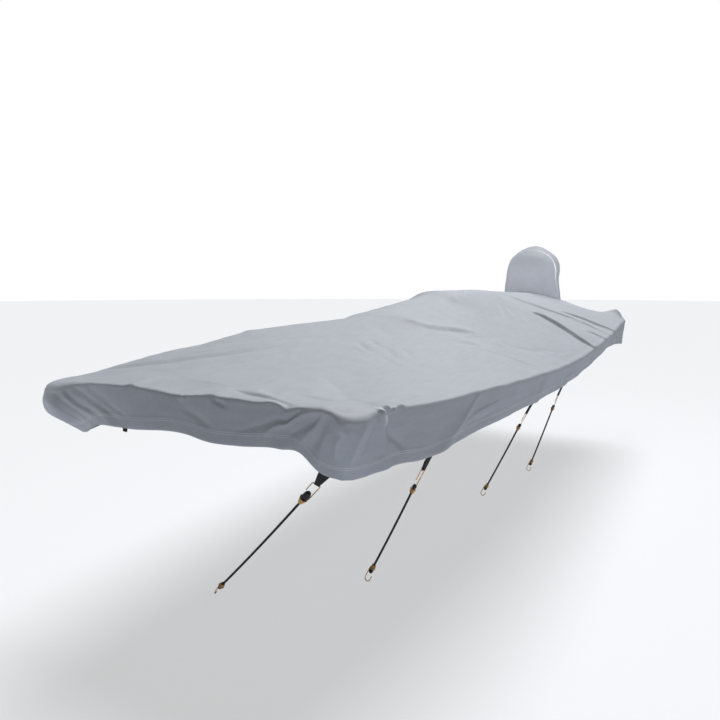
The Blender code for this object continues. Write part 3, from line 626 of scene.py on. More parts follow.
# small creases beside them, in the same terms
CREASES = (
    (((-0.60, 0.10), (-0.39, 0.28), (-0.22, 0.47), (-0.07, 0.70)), 0.018, -0.0095, 0.3),
    (((-0.43, 0.31), (-0.30, 0.48), (-0.10, 0.80)), 0.014, -0.0070, 0.3),
    (((-0.12, 0.94), (-0.05, 0.74), (0.00, 0.61), (0.11, 0.42)), 0.011, 0.0024, 0.0),
    (((0.16, 0.075), (0.276, 0.050), (0.333, 0.036), (0.42, 0.008), (0.50, -0.02)),
     0.010, -0.0100, 0.4),
    (((0.38, 0.135), (0.54, 0.133)), 0.014, -0.0050, 0.0),
    (((0.27, 0.45), (0.405, 0.353), (0.55, 0.20)), 0.030, -0.0060, 0.0),
    (((0.12, 0.96), (0.206, 0.896), (0.25, 0.88)), 0.012, -0.0075, 0.0),
    (((0.16, 1.02), (0.26, 0.96)), 0.012, -0.0062, 0.0),
    (((0.23, 1.01), (0.38, 0.88)), 0.012, -0.0058, 0.0),
    (((0.14, 0.85), (0.23, 0.84)), 0.012, -0.0042, 0.0),
    (((0.30, 0.85), (0.44, 0.785)), 0.012, -0.0045, 0.0),
    (((0.32, 1.04), (0.42, 0.95)), 0.012, -0.0048, 0.0),
    (((0.38, 1.37), (0.492, 1.505), (0.591, 1.605), (0.67, 1.69)), 0.013, -0.0050, 0.0),
    (((0.42, 1.56), (0.463, 1.72), (0.52, 1.87)), 0.013, -0.0042, 0.0),
    (((0.53, 1.74), (0.624, 1.86), (0.73, 2.09)), 0.014, -0.0055, 0.0),
    (((0.55, 1.49), (0.680, 1.567), (0.79, 1.64)), 0.012, -0.0062, 0.0),
    (((0.58, 1.41), (0.69, 1.38)), 0.012, -0.0036, 0.0),
    (((0.66, 1.98), (0.76, 2.30)), 0.014, -0.0046, 0.0),
    (((0.27, 2.52), (0.372, 2.30), (0.46, 2.22)), 0.015, -0.0050, 0.0),
    (((0.28, 2.60), (0.410, 2.43), (0.50, 2.39)), 0.015, -0.0050, 0.0),
    (((0.26, 2.74), (0.423, 2.56), (0.53, 2.47)), 0.015, -0.0052, 0.0),
    (((0.25, 2.94), (0.47, 2.82)), 0.014, -0.0050, 0.0),
    (((0.25, 3.13), (0.49, 2.90)), 0.014, -0.0050, 0.0),
)
# folds in the skirt: metres along the rim from the starboard bow corner, at the rim and at
# the hem, width, height, start and full height as shares of the fall
SKIRT_FOLDS = (
    (0.03, 0.07, 0.035, 0.008, 0.05, 0.6),
    (0.07, 0.17, 0.035, 0.009, 0.05, 0.7),
    (0.12, 0.29, 0.040, 0.007, 0.10, 0.8),
    (1.22, 1.07, 0.035, 0.004, 0.05, 0.8),
    (1.26, 1.16, 0.035, 0.006, 0.05, 0.8),
    (1.30, 1.28, 0.035, 0.008, 0.10, 0.8),
    (1.40, 1.48, 0.035, 0.010, -0.05, 0.3),
    (2.10, 1.84, 0.060, 0.010, 0.10, 0.9),
    (2.96, 2.88, 0.050, 0.008, 0.10, 0.9),
    (3.60, 3.50, 0.060, 0.008, 0.10, 0.9),
)
# creases in the skirt: points as metres along the rim and shares of the fall, width, height
SKIRT_CREASES = (
    (((0.00, -0.1), (0.031, 0.39), (0.054, 0.72), (0.062, 1.1)), 0.009, -0.0052),
    (((0.02, -0.1), (0.094, 0.33), (0.149, 0.74), (0.225, 1.1)), 0.009, -0.0052),
    (((0.055, -0.1), (0.116, 0.36), (0.185, 0.73), (0.25, 1.1)), 0.007, 0.0045),
    (((0.01, 0.0), (0.060, 0.36), (0.10, 0.73), (0.14, 1.1)), 0.007, 0.0040),
    (((-0.04, 0.05), (-0.01, 0.40), (0.01, 0.80)), 0.009, -0.0050),
    (((-0.09, 0.05), (-0.06, 0.40), (-0.03, 0.80)), 0.008, 0.0040),
    (((0.06, -0.1), (0.139, 0.42), (0.226, 0.73), (0.29, 1.1)), 0.009, -0.0050),
    (((0.10, -0.1), (0.203, 0.40), (0.312, 0.76), (0.36, 0.95)), 0.009, -0.0050),
    (((0.16, -0.1), (0.28, 0.45), (0.40, 0.80)), 0.012, -0.0040),
    (((0.503, -0.2), (0.518, 0.17), (0.499, 0.55)), 0.008, 0.0045),
    (((0.650, -0.4), (0.664, 0.02), (0.668, 0.12)), 0.007, 0.0100),
    (((0.712, -0.4), (0.700, -0.1), (0.680, 0.05)), 0.007, 0.0070),
    (((0.66, 0.25), (0.691, 0.36), (0.755, 0.57), (0.79, 0.70)), 0.014, -0.0045),
    (((0.78, -0.3), (0.80, 0.02), (0.86, 0.12)), 0.010, -0.0060),
    (((1.26, -0.1), (1.157, 0.05), (1.082, 0.35), (0.98, 0.78)), 0.010, 0.0060),
    (((1.20, -0.1), (1.102, 0.15), (1.023, 0.40), (0.86, 0.75)), 0.011, -0.0030),
    (((1.27, -0.1), (1.181, 0.21), (1.098, 0.66), (1.06, 0.90)), 0.009, -0.0045),
    (((1.25, -0.1), (1.178, 0.37), (1.131, 0.83), (1.12, 1.0)), 0.009, 0.0065),
    (((1.28, -0.1), (1.227, 0.21), (1.187, 0.60), (1.17, 0.90)), 0.010, -0.0060),
    (((1.274, 0.0), (1.275, 0.22)), 0.007, 0.0070),
    (((1.29, 0.1), (1.264, 0.42), (1.250, 0.75)), 0.009, 0.0060),
    (((1.335, 0.0), (1.318, 0.39), (1.305, 0.80)), 0.009, 0.0065),
    (((1.375, 0.05), (1.360, 0.40), (1.345, 0.70)), 0.012, -0.0050),
    (((1.395, -0.35), (1.408, 0.0), (1.424, 0.17), (1.436, 0.30)), 0.0075, 0.0210),
    (((1.460, -0.40), (1.462, 0.03)), 0.008, 0.0090),
    (((1.495, -0.40), (1.500, 0.05)), 0.008, 0.0090),
    (((1.550, -0.35), (1.552, 0.02)), 0.008, 0.0050),
    (((1.426, 0.15), (1.495, 0.46), (1.60, 0.75)), 0.013, -0.0060),
    (((2.11, -0.1), (2.009, 0.33), (1.90, 0.78)), 0.011, 0.0060),
    (((2.34, 0.38), (2.108, 0.47), (1.95, 0.70)), 0.011, 0.0050),
    (((2.32, 0.50), (2.071, 0.58)), 0.011, 0.0040),
)
# slack pockets in the bow corners: metres along the rim, depth, width, then how far the
# pocket stands out at the rim and at quarters of the fall
POCKETS = (
    (0.0, 0.084, 0.11, (0.80, 1.10, 1.10, 0.60, 0.0)),
    (1.30, 0.020, 0.10, (0.80, 0.90, 0.75, 0.40, 0.0)),
)
POCKET_SINK = 0.25       # share of a pocket's depth by which the bend sinks there
# low waves of loosely held cloth: how they turn across and along, start, height
SLACK_WAVES = (
    (31.0, 9.0, 0.4, 0.00050),
    (-17.0, 26.0, 1.9, 0.00045),
    (47.0, -22.0, 3.1, 0.00030),
    (12.0, 52.0, 5.0, 0.00028),
    (-71.0, 30.0, 0.8, 0.00016),
)
SLACK_SWERVE = (1.3, 7.0, -5.0)    # how far the waves swerve, and how that turns
SKIRT_SLACK = 2.2        # the waves lie this much closer up and down the skirt
CLOTH = 0.0014           # thickness of the cloth
LAP = 0.0004             # step of the lapped seam
LAP_WIDTH = 0.014
SEAM_HOLD = (0.9, 0.025)           # the seam flattens creases by this share, this far off
HEM_STEP = 0.0008        # the turned hem stands out this much
HEM_HEIGHT = 0.048       # and is this high

# columns of each panel's mesh as shares of the half beam: from, to, count
FORE_COLUMNS = ((-1.0, -0.70, 38), (-0.70, 0.10, 42), (0.10, 0.55, 32), (0.55, 1.0, 48))
AFT_COLUMNS = ((-1.0, 0.0, 28), (0.0, 0.40, 26), (0.40, 1.0, 56))
# rows: from, to, count; each panel has its own fine rows and a few over the other panel
FORE_ROWS = ((0.0, 0.07, 14), (0.07, 0.17, 28), (0.17, 0.30, 20), (0.30, 1.54, 108),
             (1.54, 4.70, 12))
AFT_ROWS = ((0.0, 1.526, 8), (1.526, 1.54, 2), (1.54, 1.66, 14), (1.66, 2.70, 54),
            (2.70, 2.85, 12), (2.85, 3.02, 36), (3.02, 3.20, 18), (3.20, 3.95, 126),
            (3.95, 4.70, 38))
UNDERLAP = 2             # rows of the aft panel under the edge of the fore panel
BEND_RINGS = 7
FALL_RINGS = {"fore_panel": 20, "aft_panel": 6}
HEM_RINGS = (0.058, 0.050, 0.046, 0.034, 0.020, 0.008, 0.0)
SKIRT_DROP = 0.17        # usual length of the fall, for the slant of its creases
RELAX_GRID = (48, 140)
RELAX_STEPS = 3000
FAR = 9.0                # more than any distance or oval on the cover
CREASE_PAINT_RISE = 0.009      # a crease this high gets its full painted highlight or painted shade
CREASE_PAINT_WIDTH = 0.6       # over this share of its width


def placed(points):
    """Table coordinates to the part's own frame."""
    return np.asarray(points, float) - np.array((0.0, ORIGIN_Y, ORIGIN_Z))


def read(table, column, place):
    """Smooth curve through one column of a table, read at one place or many."""
    keys, values = table[:, 0], table[:, column]
    place = np.clip(np.asarray(place, float), keys[0], keys[-1])
    slopes = np.gradient(values, keys)
    row = np.clip(np.searchsorted(keys, place, side="right") - 1, 0, len(keys) - 2)
    step = keys[row + 1] - keys[row]
    t = (place - keys[row]) / step
    rise = (2 * t**3 - 3 * t**2 + 1) * values[row] + (3 * t**2 - 2 * t**3) * values[row + 1]
    bend = (t**3 - 2 * t**2 + t) * slopes[row] + (t**3 - t**2) * slopes[row + 1]
    return rise + bend * step


def stretched_top():
    """Heights of a sheet pulled tight over the ridges, between the rims."""
    columns, rows = RELAX_GRID
    share, along = np.meshgrid(np.linspace(-1, 1, columns + 1), np.linspace(0, 1, rows + 1))
    y = along * LENGTH
    x = share * read(SIDES, 1, y)
    rim = read(SIDES, 2, y)
    held = np.full_like(x, -1.0)
    for x0, y0, z0, x1, y1, z1, width, fall, power in RIDGES:
        run = (x1 - x0)**2 + (y1 - y0)**2
        t = np.clip(((x - x0) * (x1 - x0) + (y - y0) * (y1 - y0)) / run, 0, 1)
        away = np.hypot(x - x0 - t * (x1 - x0), y - y0 - t * (y1 - y0))
        held = np.maximum(held, z0 + t * (z1 - z0) - fall * (away / width)**power)
    z = np.maximum(rim, held)
    z[:, 0], z[:, -1] = rim[:, 0], rim[:, -1]
    z[0] = rim[0] + BOW_CROWN * (1 - share[0]**2)
    z[-1] = rim[-1] + read(STERN, 1, np.abs(share[-1]))
    across = (columns / (2 * read(SIDES, 1, y)[1:-1, 1:-1]))**2
    lengthwise = (rows / LENGTH)**2
    for _ in range(RELAX_STEPS):
        level = across * (z[1:-1, 2:] + z[1:-1, :-2]) + lengthwise * (z[2:, 1:-1] + z[:-2, 1:-1])
        z[1:-1, 1:-1] = np.maximum(held[1:-1, 1:-1], level / (2 * (across + lengthwise)))
    return z


TOP_HEIGHTS = stretched_top()


def top_height(share, along):
    """Height of the stretched top at shares of the half beam and of the length."""
    columns, rows = RELAX_GRID
    u = (np.asarray(share, float) + 1) / 2 * columns
    v = np.asarray(along, float) * rows
    i = np.clip(u.astype(int), 0, columns - 1)
    j = np.clip(v.astype(int), 0, rows - 1)
    weights = []
    for t in (u - i, v - j):
        weights.append(((-t + 2 * t**2 - t**3) / 2, (2 - 5 * t**2 + 3 * t**3) / 2,
                        (t + 4 * t**2 - 3 * t**3) / 2, (t**3 - t**2) / 2))
    height = 0.0
    for q in range(4):
        for p in range(4):
            near = TOP_HEIGHTS[np.clip(j + q - 1, 0, rows), np.clip(i + p - 1, 0, columns)]
            height = height + weights[0][p] * weights[1][q] * near
    return height


def crease_height(u, v, creases):
    """Sum of the creases that lie along lines of points, each fading out at its two ends."""
    height = np.zeros_like(u)
    for points, width, rise, *steep in creases:
        points = np.array(points)
        steep = steep[0] if steep else 0.0
        runs = np.linalg.norm(np.diff(points, axis=0), axis=1)
        nearest, off, way = np.full_like(u, FAR), np.zeros_like(u), np.zeros_like(u)
        for k, run in enumerate(runs):
            along = (points[k + 1] - points[k]) / run
            t = (u - points[k, 0]) * along[0] + (v - points[k, 1]) * along[1]
            side = (v - points[k, 1]) * along[0] - (u - points[k, 0]) * along[1]
            away = np.hypot(side, t - np.clip(t, 0, run))
            closer = away < nearest
            nearest = np.where(closer, away, nearest)
            off = np.where(closer, np.sign(side) * away, off)
            way = np.where(closer, runs[:k].sum() + np.clip(t, 0, run), way)
        share = way / runs.sum()
        flank = np.where(off > 0, off / (width * (1 - max(steep, 0.0))),
                         off / (width * (1 + min(steep, 0.0))))
        height += rise * (1 - np.abs(2 * share - 1)**3) * np.exp(-flank**2)
    return height


def painted_crease_light_and_shade(u, v, creases):
    """Above 0 on the raised creases, where a painted highlight makes the cloth pale; below 0 in
    the sunk ones, where painted shade makes it dark."""
    marks = [(points, CREASE_PAINT_WIDTH * width, rise / CREASE_PAINT_RISE, *steep)
             for points, width, rise, *steep in creases]
    return np.clip(crease_height(u, v, marks), -1, 2)


def slack(x, y):
    """Height of the low waves of loosely held cloth."""
    swerve, turn_x, turn_y = SLACK_SWERVE
    return sum(rise * np.sin(a * x + b * y + start +
                             swerve * np.sin(turn_x * x + turn_y * y + start))
               for a, b, start, rise in SLACK_WAVES)


def seam_step(y, lap):
    """Height of the lapped edge on the bow side of the cross seam."""
    return lap * np.clip(1 - (SEAM_Y - y) / LAP_WIDTH, 0, 1) * (y < SEAM_Y + 1e-6)


def cover_top(share, along, lap):
    """The top of the cover as a grid of points, its corners rounded in plan."""
    share, along = np.meshgrid(share, along)
    y = along * LENGTH
    beam = read(SIDES, 1, y)
    x = share * beam
    z = top_height(share, along) + crease_height(x, y, TOP_FOLDS) + slack(x, y)
    held, reach = SEAM_HOLD
    z += crease_height(x, y, CREASES) * (1 - held * np.exp(-((y - SEAM_Y) / reach)**2))
    z += seam_step(y, lap)
    inset = beam - np.abs(x)
    for distance, sign, end in ((y, 1, 0.0), (LENGTH - y, -1, LENGTH)):
        corner = (inset < CORNER_RADIUS) & (distance < CORNER_RADIUS)
        a = 1 - inset[corner] / CORNER_RADIUS
        b = 1 - distance[corner] / CORNER_RADIUS
        turn_x = CORNER_RADIUS * (1 - a * np.sqrt(1 - b * b / 2))
        turn_y = CORNER_RADIUS * (1 - b * np.sqrt(1 - a * a / 2))
        x[corner] = np.sign(x[corner]) * (beam[corner] - turn_x)
        y[corner] = end + sign * turn_y
    return np.stack((x, y, z), axis=-1)


def rim_loop(rows, columns):
    """Grid places of the rim: bow edge to port, port side, stern, starboard side."""
    loop = [(0, i) for i in range(columns)]
    loop += [(j, columns - 1) for j in range(1, rows)]
    loop += [(rows - 1, i) for i in range(columns - 2, -1, -1)]
    loop += [(j, 0) for j in range(rows - 2, 0, -1)]
    return loop


SKIRT_LINES = [([(a, b * SKIRT_DROP) for a, b in points], *sizes)
               for points, *sizes in SKIRT_CREASES]


def skirt_surface(top, share, along, lap, fall_rings):
    """Rings from the rim to the hem, with metres along the rim and metres above the hem."""
    loop = rim_loop(len(along), len(share))
    rim = np.array([top[place] for place in loop])
    steps = np.linalg.norm(rim - np.roll(rim, 1, axis=0), axis=1)
    reach = np.cumsum(steps) - steps[0]
    girth = reach[-1] + steps[0]
    tangent = np.roll(rim, -1, axis=0) - np.roll(rim, 1, axis=0)
    outward = np.stack((tangent[:, 1], -tangent[:, 0]), axis=-1)
    outward /= np.linalg.norm(outward, axis=1, keepdims=True)
    hem, lean, station = np.zeros(len(loop)), np.zeros(len(loop)), np.zeros(len(loop))
    for number, (row, column) in enumerate(loop):
        station[number] = along[row] * LENGTH
        if row == 0:
            hem[number] = read(BOW, 1, share[column])
            lean[number] = read(BOW, 2, share[column])
        elif row == len(along) - 1 and 0 < column < len(share) - 1:
            hem[number], lean[number] = STERN_HEM, STERN_LEAN
        else:
            hem[number] = read(SIDES, 3, station[number])
            lean[number] = read(SIDES, 4, station[number])
    # the bend starts with the slope that the top has at the rim
    inner = np.array([top[min(max(j, 2), len(along) - 3), min(max(i, 2), len(share) - 3)]
                      for j, i in loop])
    slope = (inner[:, 2] - rim[:, 2]) / np.linalg.norm((inner - rim)[:, :2], axis=1)
    near = np.array([np.roll(slope, k) for k in range(-EDGE_BLEND, EDGE_BLEND + 1)])
    slope = np.clip(near.mean(axis=0), *EDGE_SLOPES)
    corner = EDGE_RADIUS * slope
    bent = corner + EDGE_DROP
    pockets = []
    for place, depth, width, profile in POCKETS:
        away = (reach - place + girth / 2) % girth - girth / 2
        pocket = depth * np.exp(-(away / width)**2)
        pockets.append((pocket, profile))
        bent = bent + POCKET_SINK * pocket
    drop = rim[:, 2] - hem - bent
    ease, start, length = STERN_EASE
    weight = EDGE_TIGHTNESS * (1 - ease * np.clip((station - start) / length, 0, 1))
    ease, place, width = CORNER_EASE
    weight = weight * (1 - ease * np.exp(-((reach - place) / width)**2))
    none = np.zeros(len(loop))
    levels = [((k + 1) / BEND_RINGS, none) for k in range(BEND_RINGS)]
    for k in range(fall_rings):
        levels.append((1.0, (1 - HEM_RINGS[0] / drop) * (k + 0.5) / fall_rings))
    levels += [(1.0, 1 - height / drop) for height in HEM_RINGS]
    overlap = seam_step(station, lap)
    rings, heights = [rim], [drop + bent]
    marks = [np.zeros(len(loop))]
    for bend, fall in levels:
        middle = 2 * bend * (1 - bend) * weight
        total = (1 - bend)**2 + middle + bend**2
        out = EDGE_RADIUS * (middle + bend**2) / total
        sunk = (middle * corner + bend**2 * bent) / total
        out = out + lean * fall + overlap * bend
        out = out + SKIRT_WAVE[0] * fall * np.sin(2 * math.pi * reach / SKIRT_WAVE[1])
        for pocket, profile in pockets:
            belly = np.column_stack((np.linspace(0, 1, len(profile)), profile))
            out = out + pocket * bend * read(belly, 1, fall)
        for at_rim, at_hem, width, rise, start, full in SKIRT_FOLDS:
            grown = np.clip((fall - start) / (full - start), 0.0, 1.0)
            away = reach - at_rim - (at_hem - at_rim) * fall
            out = out + rise * np.sin(math.pi / 2 * grown) * np.exp(-(away / width)**2)
        above = drop * (1 - fall) + bent - sunk
        below = SKIRT_DROP * fall - (bent - sunk)
        out = out + crease_height(reach, below, SKIRT_LINES)
        marks.append(painted_crease_light_and_shade(reach, below, SKIRT_LINES))
        out = out + HEM_STEP * (above < HEM_HEIGHT)
        out = out + slack(reach, SKIRT_SLACK * above) * bend
        z = rim[:, 2] - sunk - drop * fall
        rings.append(np.column_stack((rim[:, :2] + outward * out[:, None], z)))
        heights.append(above)
    return np.array(rings), reach, girth, np.array(heights), loop, np.array(marks)


def hood_oval(x, y):
    """Below 1 inside the foot of the hood, 1 on its outline."""
    _, half_width, middle, half_length, sideways, squareness = HOOD[1]
    return (np.abs((x - sideways) / half_width)**squareness +
            np.abs((y - middle) / half_length)**squareness)**(1 / squareness)


# hood: height, half width, middle station, half length, how far it stands to port, and how
# square its oval section is (2 is an ellipse)
HOOD = np.array((
    (0.160, 0.250, 4.425, 0.242, 0.018, 2.9),
    (0.300, 0.246, 4.425, 0.238, 0.016, 2.9),
    (0.360, 0.237, 4.430, 0.234, 0.010, 2.8),
    (0.430, 0.229, 4.436, 0.234, 0.010, 2.7),
    (0.500, 0.231, 4.445, 0.239, 0.013, 2.6),
    (0.570, 0.220, 4.450, 0.230, 0.016, 2.5),
    (0.620, 0.197, 4.452, 0.209, 0.016, 2.4),
    (0.660, 0.161, 4.452, 0.172, 0.014, 2.3),
    (0.695, 0.110, 4.450, 0.121, 0.016, 2.2),
    (0.714, 0.074, 4.448, 0.080, 0.020, 2.1),
    (0.727, 0.038, 4.446, 0.040, 0.023, 2.0),
    (0.733, 0.000, 4.446, 0.000, 0.024, 2.0),
))


def quads_of(rows, columns, first, closed=False):
    """Corner numbers of a grid of faces whose points are numbered row by row."""
    j, i = np.meshgrid(np.arange(rows - 1), np.arange(columns if closed else columns - 1),
                       indexing="ij")
    following = (i + 1) % columns
    return np.stack((first + j * columns + i, first + j * columns + following,
                     first + (j + 1) * columns + following, first + (j + 1) * columns + i),
                    axis=-1).reshape(-1, 4)


def sheet_object(name, points, quads, maps, attributes, material):
    """A sheet from points and quads, with its UV maps and point attributes."""
    used, inverse = np.unique(quads, return_inverse=True)
    mesh = bpy.data.meshes.new(name)
    mesh.from_pydata(points[used].tolist(), [], inverse.reshape(-1, 4).tolist())
    for title, values in maps.items():
        mesh.uv_layers.new(name=title).data.foreach_set("uv", values.astype(np.float32).ravel())
    for title, values in attributes.items():
        layer = mesh.attributes.new(title, "FLOAT", "POINT")
        layer.data.foreach_set("value", values[used].astype(np.float32))
    mesh.shade_smooth()
    return link(name, mesh, material)


def corner_map(*corners):
    """A UV map of quads, from the two coordinates of each of their four corners."""
    return np.stack([np.column_stack(corner) for corner in corners], axis=1)


def apply_thickness(piece, thickness, offset, even):
    """A sheet gets its wall: offset -1 lays it inwards, 0 half to each side."""
    shell = piece.modifiers.new("wall", "SOLIDIFY")
    shell.thickness = thickness
    shell.offset = offset
    shell.use_even_offset = even
    select_only(piece)
    bpy.ops.object.modifier_apply(modifier=shell.name)


def finish_cloth(piece, node):
    """Wall of a cloth piece, with the solid that it replaces hidden."""
    apply_thickness(piece, CLOTH, -1.0, True)
    stands_for(node)


CLOTH_COLOUR = (0.395, 0.420, 0.470)
THREAD_COLOUR = (0.72, 0.74, 0.77, 1)
WEAVE = 0.0011           # spacing of the yarns
STITCH_ROWS = (0.036, 0.043)
STITCH = 0.0045
THREAD = 0.0016
STITCH_SHARE = 0.72      # of a stitch's length that its thread shows
HEM_WAVER = 0.010        # the stitches stray this much where the hem is gathered
GATHER_AT = 1.12         # metres along the rim, the middle of that stretch
SEAM_ROWS = (-0.003, -0.010)


def woven_cloth(paint):
    """Colour, roughness and relief of the coated weave itself."""
    across, along = paint.uv("cloth")
    warp, weft = (paint.maths("SINE", paint.maths("MULTIPLY", way, 2 * math.pi / WEAVE))
                  for way in (across, along))
    weave = paint.maths("MULTIPLY", warp, weft)
    broad = paint.noise(2.3, 3.0)
    cloudy = paint.noise(14.0, 4.0)
    slub = paint.noise(160.0, 2.0, (1, 0.2, 1))
    streaks = paint.noise(55.0, 3.0, (1.0, 0.16, 1.6))
    darker, lighter = ((*(shade * c for c in CLOTH_COLOUR), 1) for shade in (0.965, 1.03))
    colour = paint.mix(paint.ramp(broad, 0.3, 0.7), darker, lighter)
    # patches, thick yarns, and streaks along the cloth where its coating has worn: where
    # each begins and is full, its share there, its colour
    for marks, begins, full, share, tone in (
            (cloudy, 0.35, 0.75, 0.16, (0.47, 0.48, 0.50, 1)),
            (slub, 0.55, 0.80, 0.10, (0.30, 0.32, 0.36, 1)),
            (streaks, 0.46, 0.70, 0.12, (0.54, 0.56, 0.60, 1)),
            (streaks, 0.46, 0.28, 0.09, (0.26, 0.28, 0.32, 1))):
        colour = paint.mix(paint.ramp(marks, begins, full, 0.0, share), colour, tone)
    roughness = paint.ramp(cloudy, 0.3, 0.7, 0.62, 0.74)
    relief = paint.bump(weave, 0.00012, 0.35)
    relief = paint.bump(paint.noise(26.0, 5.0), 0.004, 0.32, relief)
    return colour, roughness, relief


def dashes(paint, along, off, at):
    """1 on the threads of one row of stitches."""
    row = paint.maths("LESS_THAN", paint.maths("ABSOLUTE", paint.maths("SUBTRACT", off, at)),
                      THREAD / 2)
    step = paint.maths("FRACT", paint.maths("DIVIDE", along, STITCH))
    return paint.maths("MULTIPLY", row, paint.maths("LESS_THAN", step, STITCH_SHARE))


def stitched(paint, colour, thread, roughness, relief):
    """The cloth's material, with the threads of its stitches on it."""
    return paint.finish(Base_Color=paint.mix(thread, colour, THREAD_COLOUR),
                        Roughness=roughness, Normal=paint.bump(thread, 0.0006, 0.5, relief))


def panel_material():
    """Blue-grey coated polyester with its hem and seam stitches."""
    paint = Nodes("blue_grey_polyester")
    colour, roughness, relief = woven_cloth(paint)
    reach, above = paint.uv("sewing")
    stray = paint.maths("MULTIPLY", paint.maths("SUBTRACT", paint.noise(38.0, 2.0), 0.5),
                        HEM_WAVER)
    off = paint.maths("ABSOLUTE", paint.maths("SUBTRACT", reach, GATHER_AT))
    gathered = paint.ramp(off, 0.10, 0.22, 1.0, 0.08)
    above = paint.maths("ADD", above, paint.maths("MULTIPLY", stray, gathered))
    thread = paint.maths("MAXIMUM", *(dashes(paint, reach, above, row) for row in STITCH_ROWS))
    seam = paint.attribute("from_seam")
    run = paint.maths("ADD", *paint.uv("cloth"))
    # the seam's thread shows less where it is pulled into the flat top
    shown = paint.ramp(above, 0.3, 0.5, 1.0, 0.15)
    for row in SEAM_ROWS:
        thread = paint.maths("MAXIMUM", thread,
                             paint.maths("MULTIPLY", dashes(paint, run, seam, row), shown))
    # a painted highlight on the raised creases and painted shade in the sunk ones
    crease_paint = paint.attribute("painted_crease_light_and_shade")
    crease_shade_paint = paint.maths("MULTIPLY", crease_paint, -1.0)
    colour = paint.mix(paint.ramp(crease_paint, 0.25, 2.0, 0.0, 0.75), colour, (0.72, 0.74, 0.77, 1))
    colour = paint.mix(paint.ramp(crease_shade_paint, 0.2, 0.95, 0.0, 0.20), colour, (0.20, 0.215, 0.245, 1))
    return stitched(paint, colour, thread, roughness, relief)


def spans(table, unit_length=1.0):
    """Places in a row, from spans with their counts."""
    places = [table[0][0]]
    for start, end, count in table:
        places += [start + (end - start) * (k + 1) / count for k in range(count)]
    return np.array(places) / unit_length


panel_cloth = panel_material()
panels = {}
for name, lap, column_spans, row_spans in (("fore_panel", LAP, FORE_COLUMNS, FORE_ROWS),
                                           ("aft_panel", 0.0, AFT_COLUMNS, AFT_ROWS)):
    share, along = spans(column_spans), spans(row_spans, LENGTH)
    seam_row = int(np.argmin(np.abs(along * LENGTH - SEAM_Y)))
    low, high = 0, seam_row
    if name == "aft_panel":
        low, high = seam_row - UNDERLAP, len(along) - 1
    top = cover_top(share, along, lap)
    rings, reach, girth, above_hem, loop, marks = skirt_surface(
        top, share, along, lap, FALL_RINGS[name])
    rows, columns = top.shape[:2]
    count = len(loop)
    top_quads = quads_of(rows, columns, 0)
    grid_row = top_quads[:, 0] // columns
    inside = (grid_row >= low) & (grid_row < high)
    points = np.concatenate((top.reshape(-1, 3), rings[1:].reshape(-1, 3)))
    if name == "aft_panel":
        # the hole under the hood, with its edge drawn on to the hood's outline
        oval = hood_oval(points[:, 0], points[:, 1])
        oval[rows * columns:] = FAR
        inside &= ~(oval[top_quads] < 1).all(axis=1)
        edge = np.unique(top_quads[inside])
        edge = edge[oval[edge] < 1]
        centre = np.array((HOOD[1, 4], HOOD[1, 2]))
        points[edge, :2] = centre + (points[edge, :2] - centre) / oval[edge, None]
    top_quads = top_quads[inside]
    # the skirt's first ring is the rim of the top
    rim_points = np.array([j * columns + i for j, i in loop])
    numbers = np.vstack((rim_points, rows * columns +
                         np.arange((len(rings) - 1) * count).reshape(-1, count)))
    loop_rows = np.array([j for j, _ in loop])
    following = (np.arange(count) + 1) % count
    kept = (loop_rows >= low) & (loop_rows <= high)
    kept &= kept[following] & (np.maximum(loop_rows, loop_rows[following]) <= high)
    k = np.nonzero(kept)[0]
    skirt_quads, skirt_sewing = [], []
    for ring in range(len(rings) - 1):
        skirt_quads.append(np.column_stack((numbers[ring, k], numbers[ring + 1, k],
                                            numbers[ring + 1, following[k]],
                                            numbers[ring, following[k]])))
        after = np.where(following[k] == 0, girth, reach[following[k]])
        skirt_sewing.append(corner_map((reach[k], above_hem[ring, k]),
                                       (reach[k], above_hem[ring + 1, k]),
                                       (after, above_hem[ring + 1, following[k]]),
                                       (after, above_hem[ring, following[k]])))
    skirt_quads, skirt_sewing = np.concatenate(skirt_quads), np.concatenate(skirt_sewing)
    top_map = points[top_quads][..., :2]
    quads = np.concatenate((top_quads, skirt_quads))
    sewing = np.concatenate((np.full_like(top_map, 1.0), skirt_sewing))
    from_seam = np.concatenate((np.repeat(along * LENGTH, columns),
                                np.tile(along[loop_rows] * LENGTH, len(rings) - 1))) - SEAM_Y
    # painted highlight on the raised creases, painted shade in the sunk ones
    crease_paint = np.concatenate((painted_crease_light_and_shade(top[..., 0], top[..., 1], CREASES).ravel(),
                           marks[1:].ravel()))
    piece = sheet_object(f"{name}_cloth", placed(points), quads,
                         {"cloth": np.concatenate((top_map, skirt_sewing)), "sewing": sewing},
                         {"from_seam": from_seam, "painted_crease_light_and_shade": crease_paint}, panel_cloth)
    finish_cloth(piece, name)
    panels[name] = (rings, reach, girth)

# ------------------------------------------------------------ motor hood
# A dome of the same cloth over the head of an outboard motor, sewn into the stern of the
# cover. One seam runs over it from side to side, a little forward at the top, with a
# pale welt in it.
HOOD_SIDES = 120
HOOD_RINGS = 64
HOOD_FOOT = (-0.016, -0.004, 0.003, 0.012)   # heights of the foot's rings on the cover
FOOT_STEPS = 8           # from the foot to the first full row of the hood's table
HOOD_START = 2
OUTLINE_CUTS = 4000
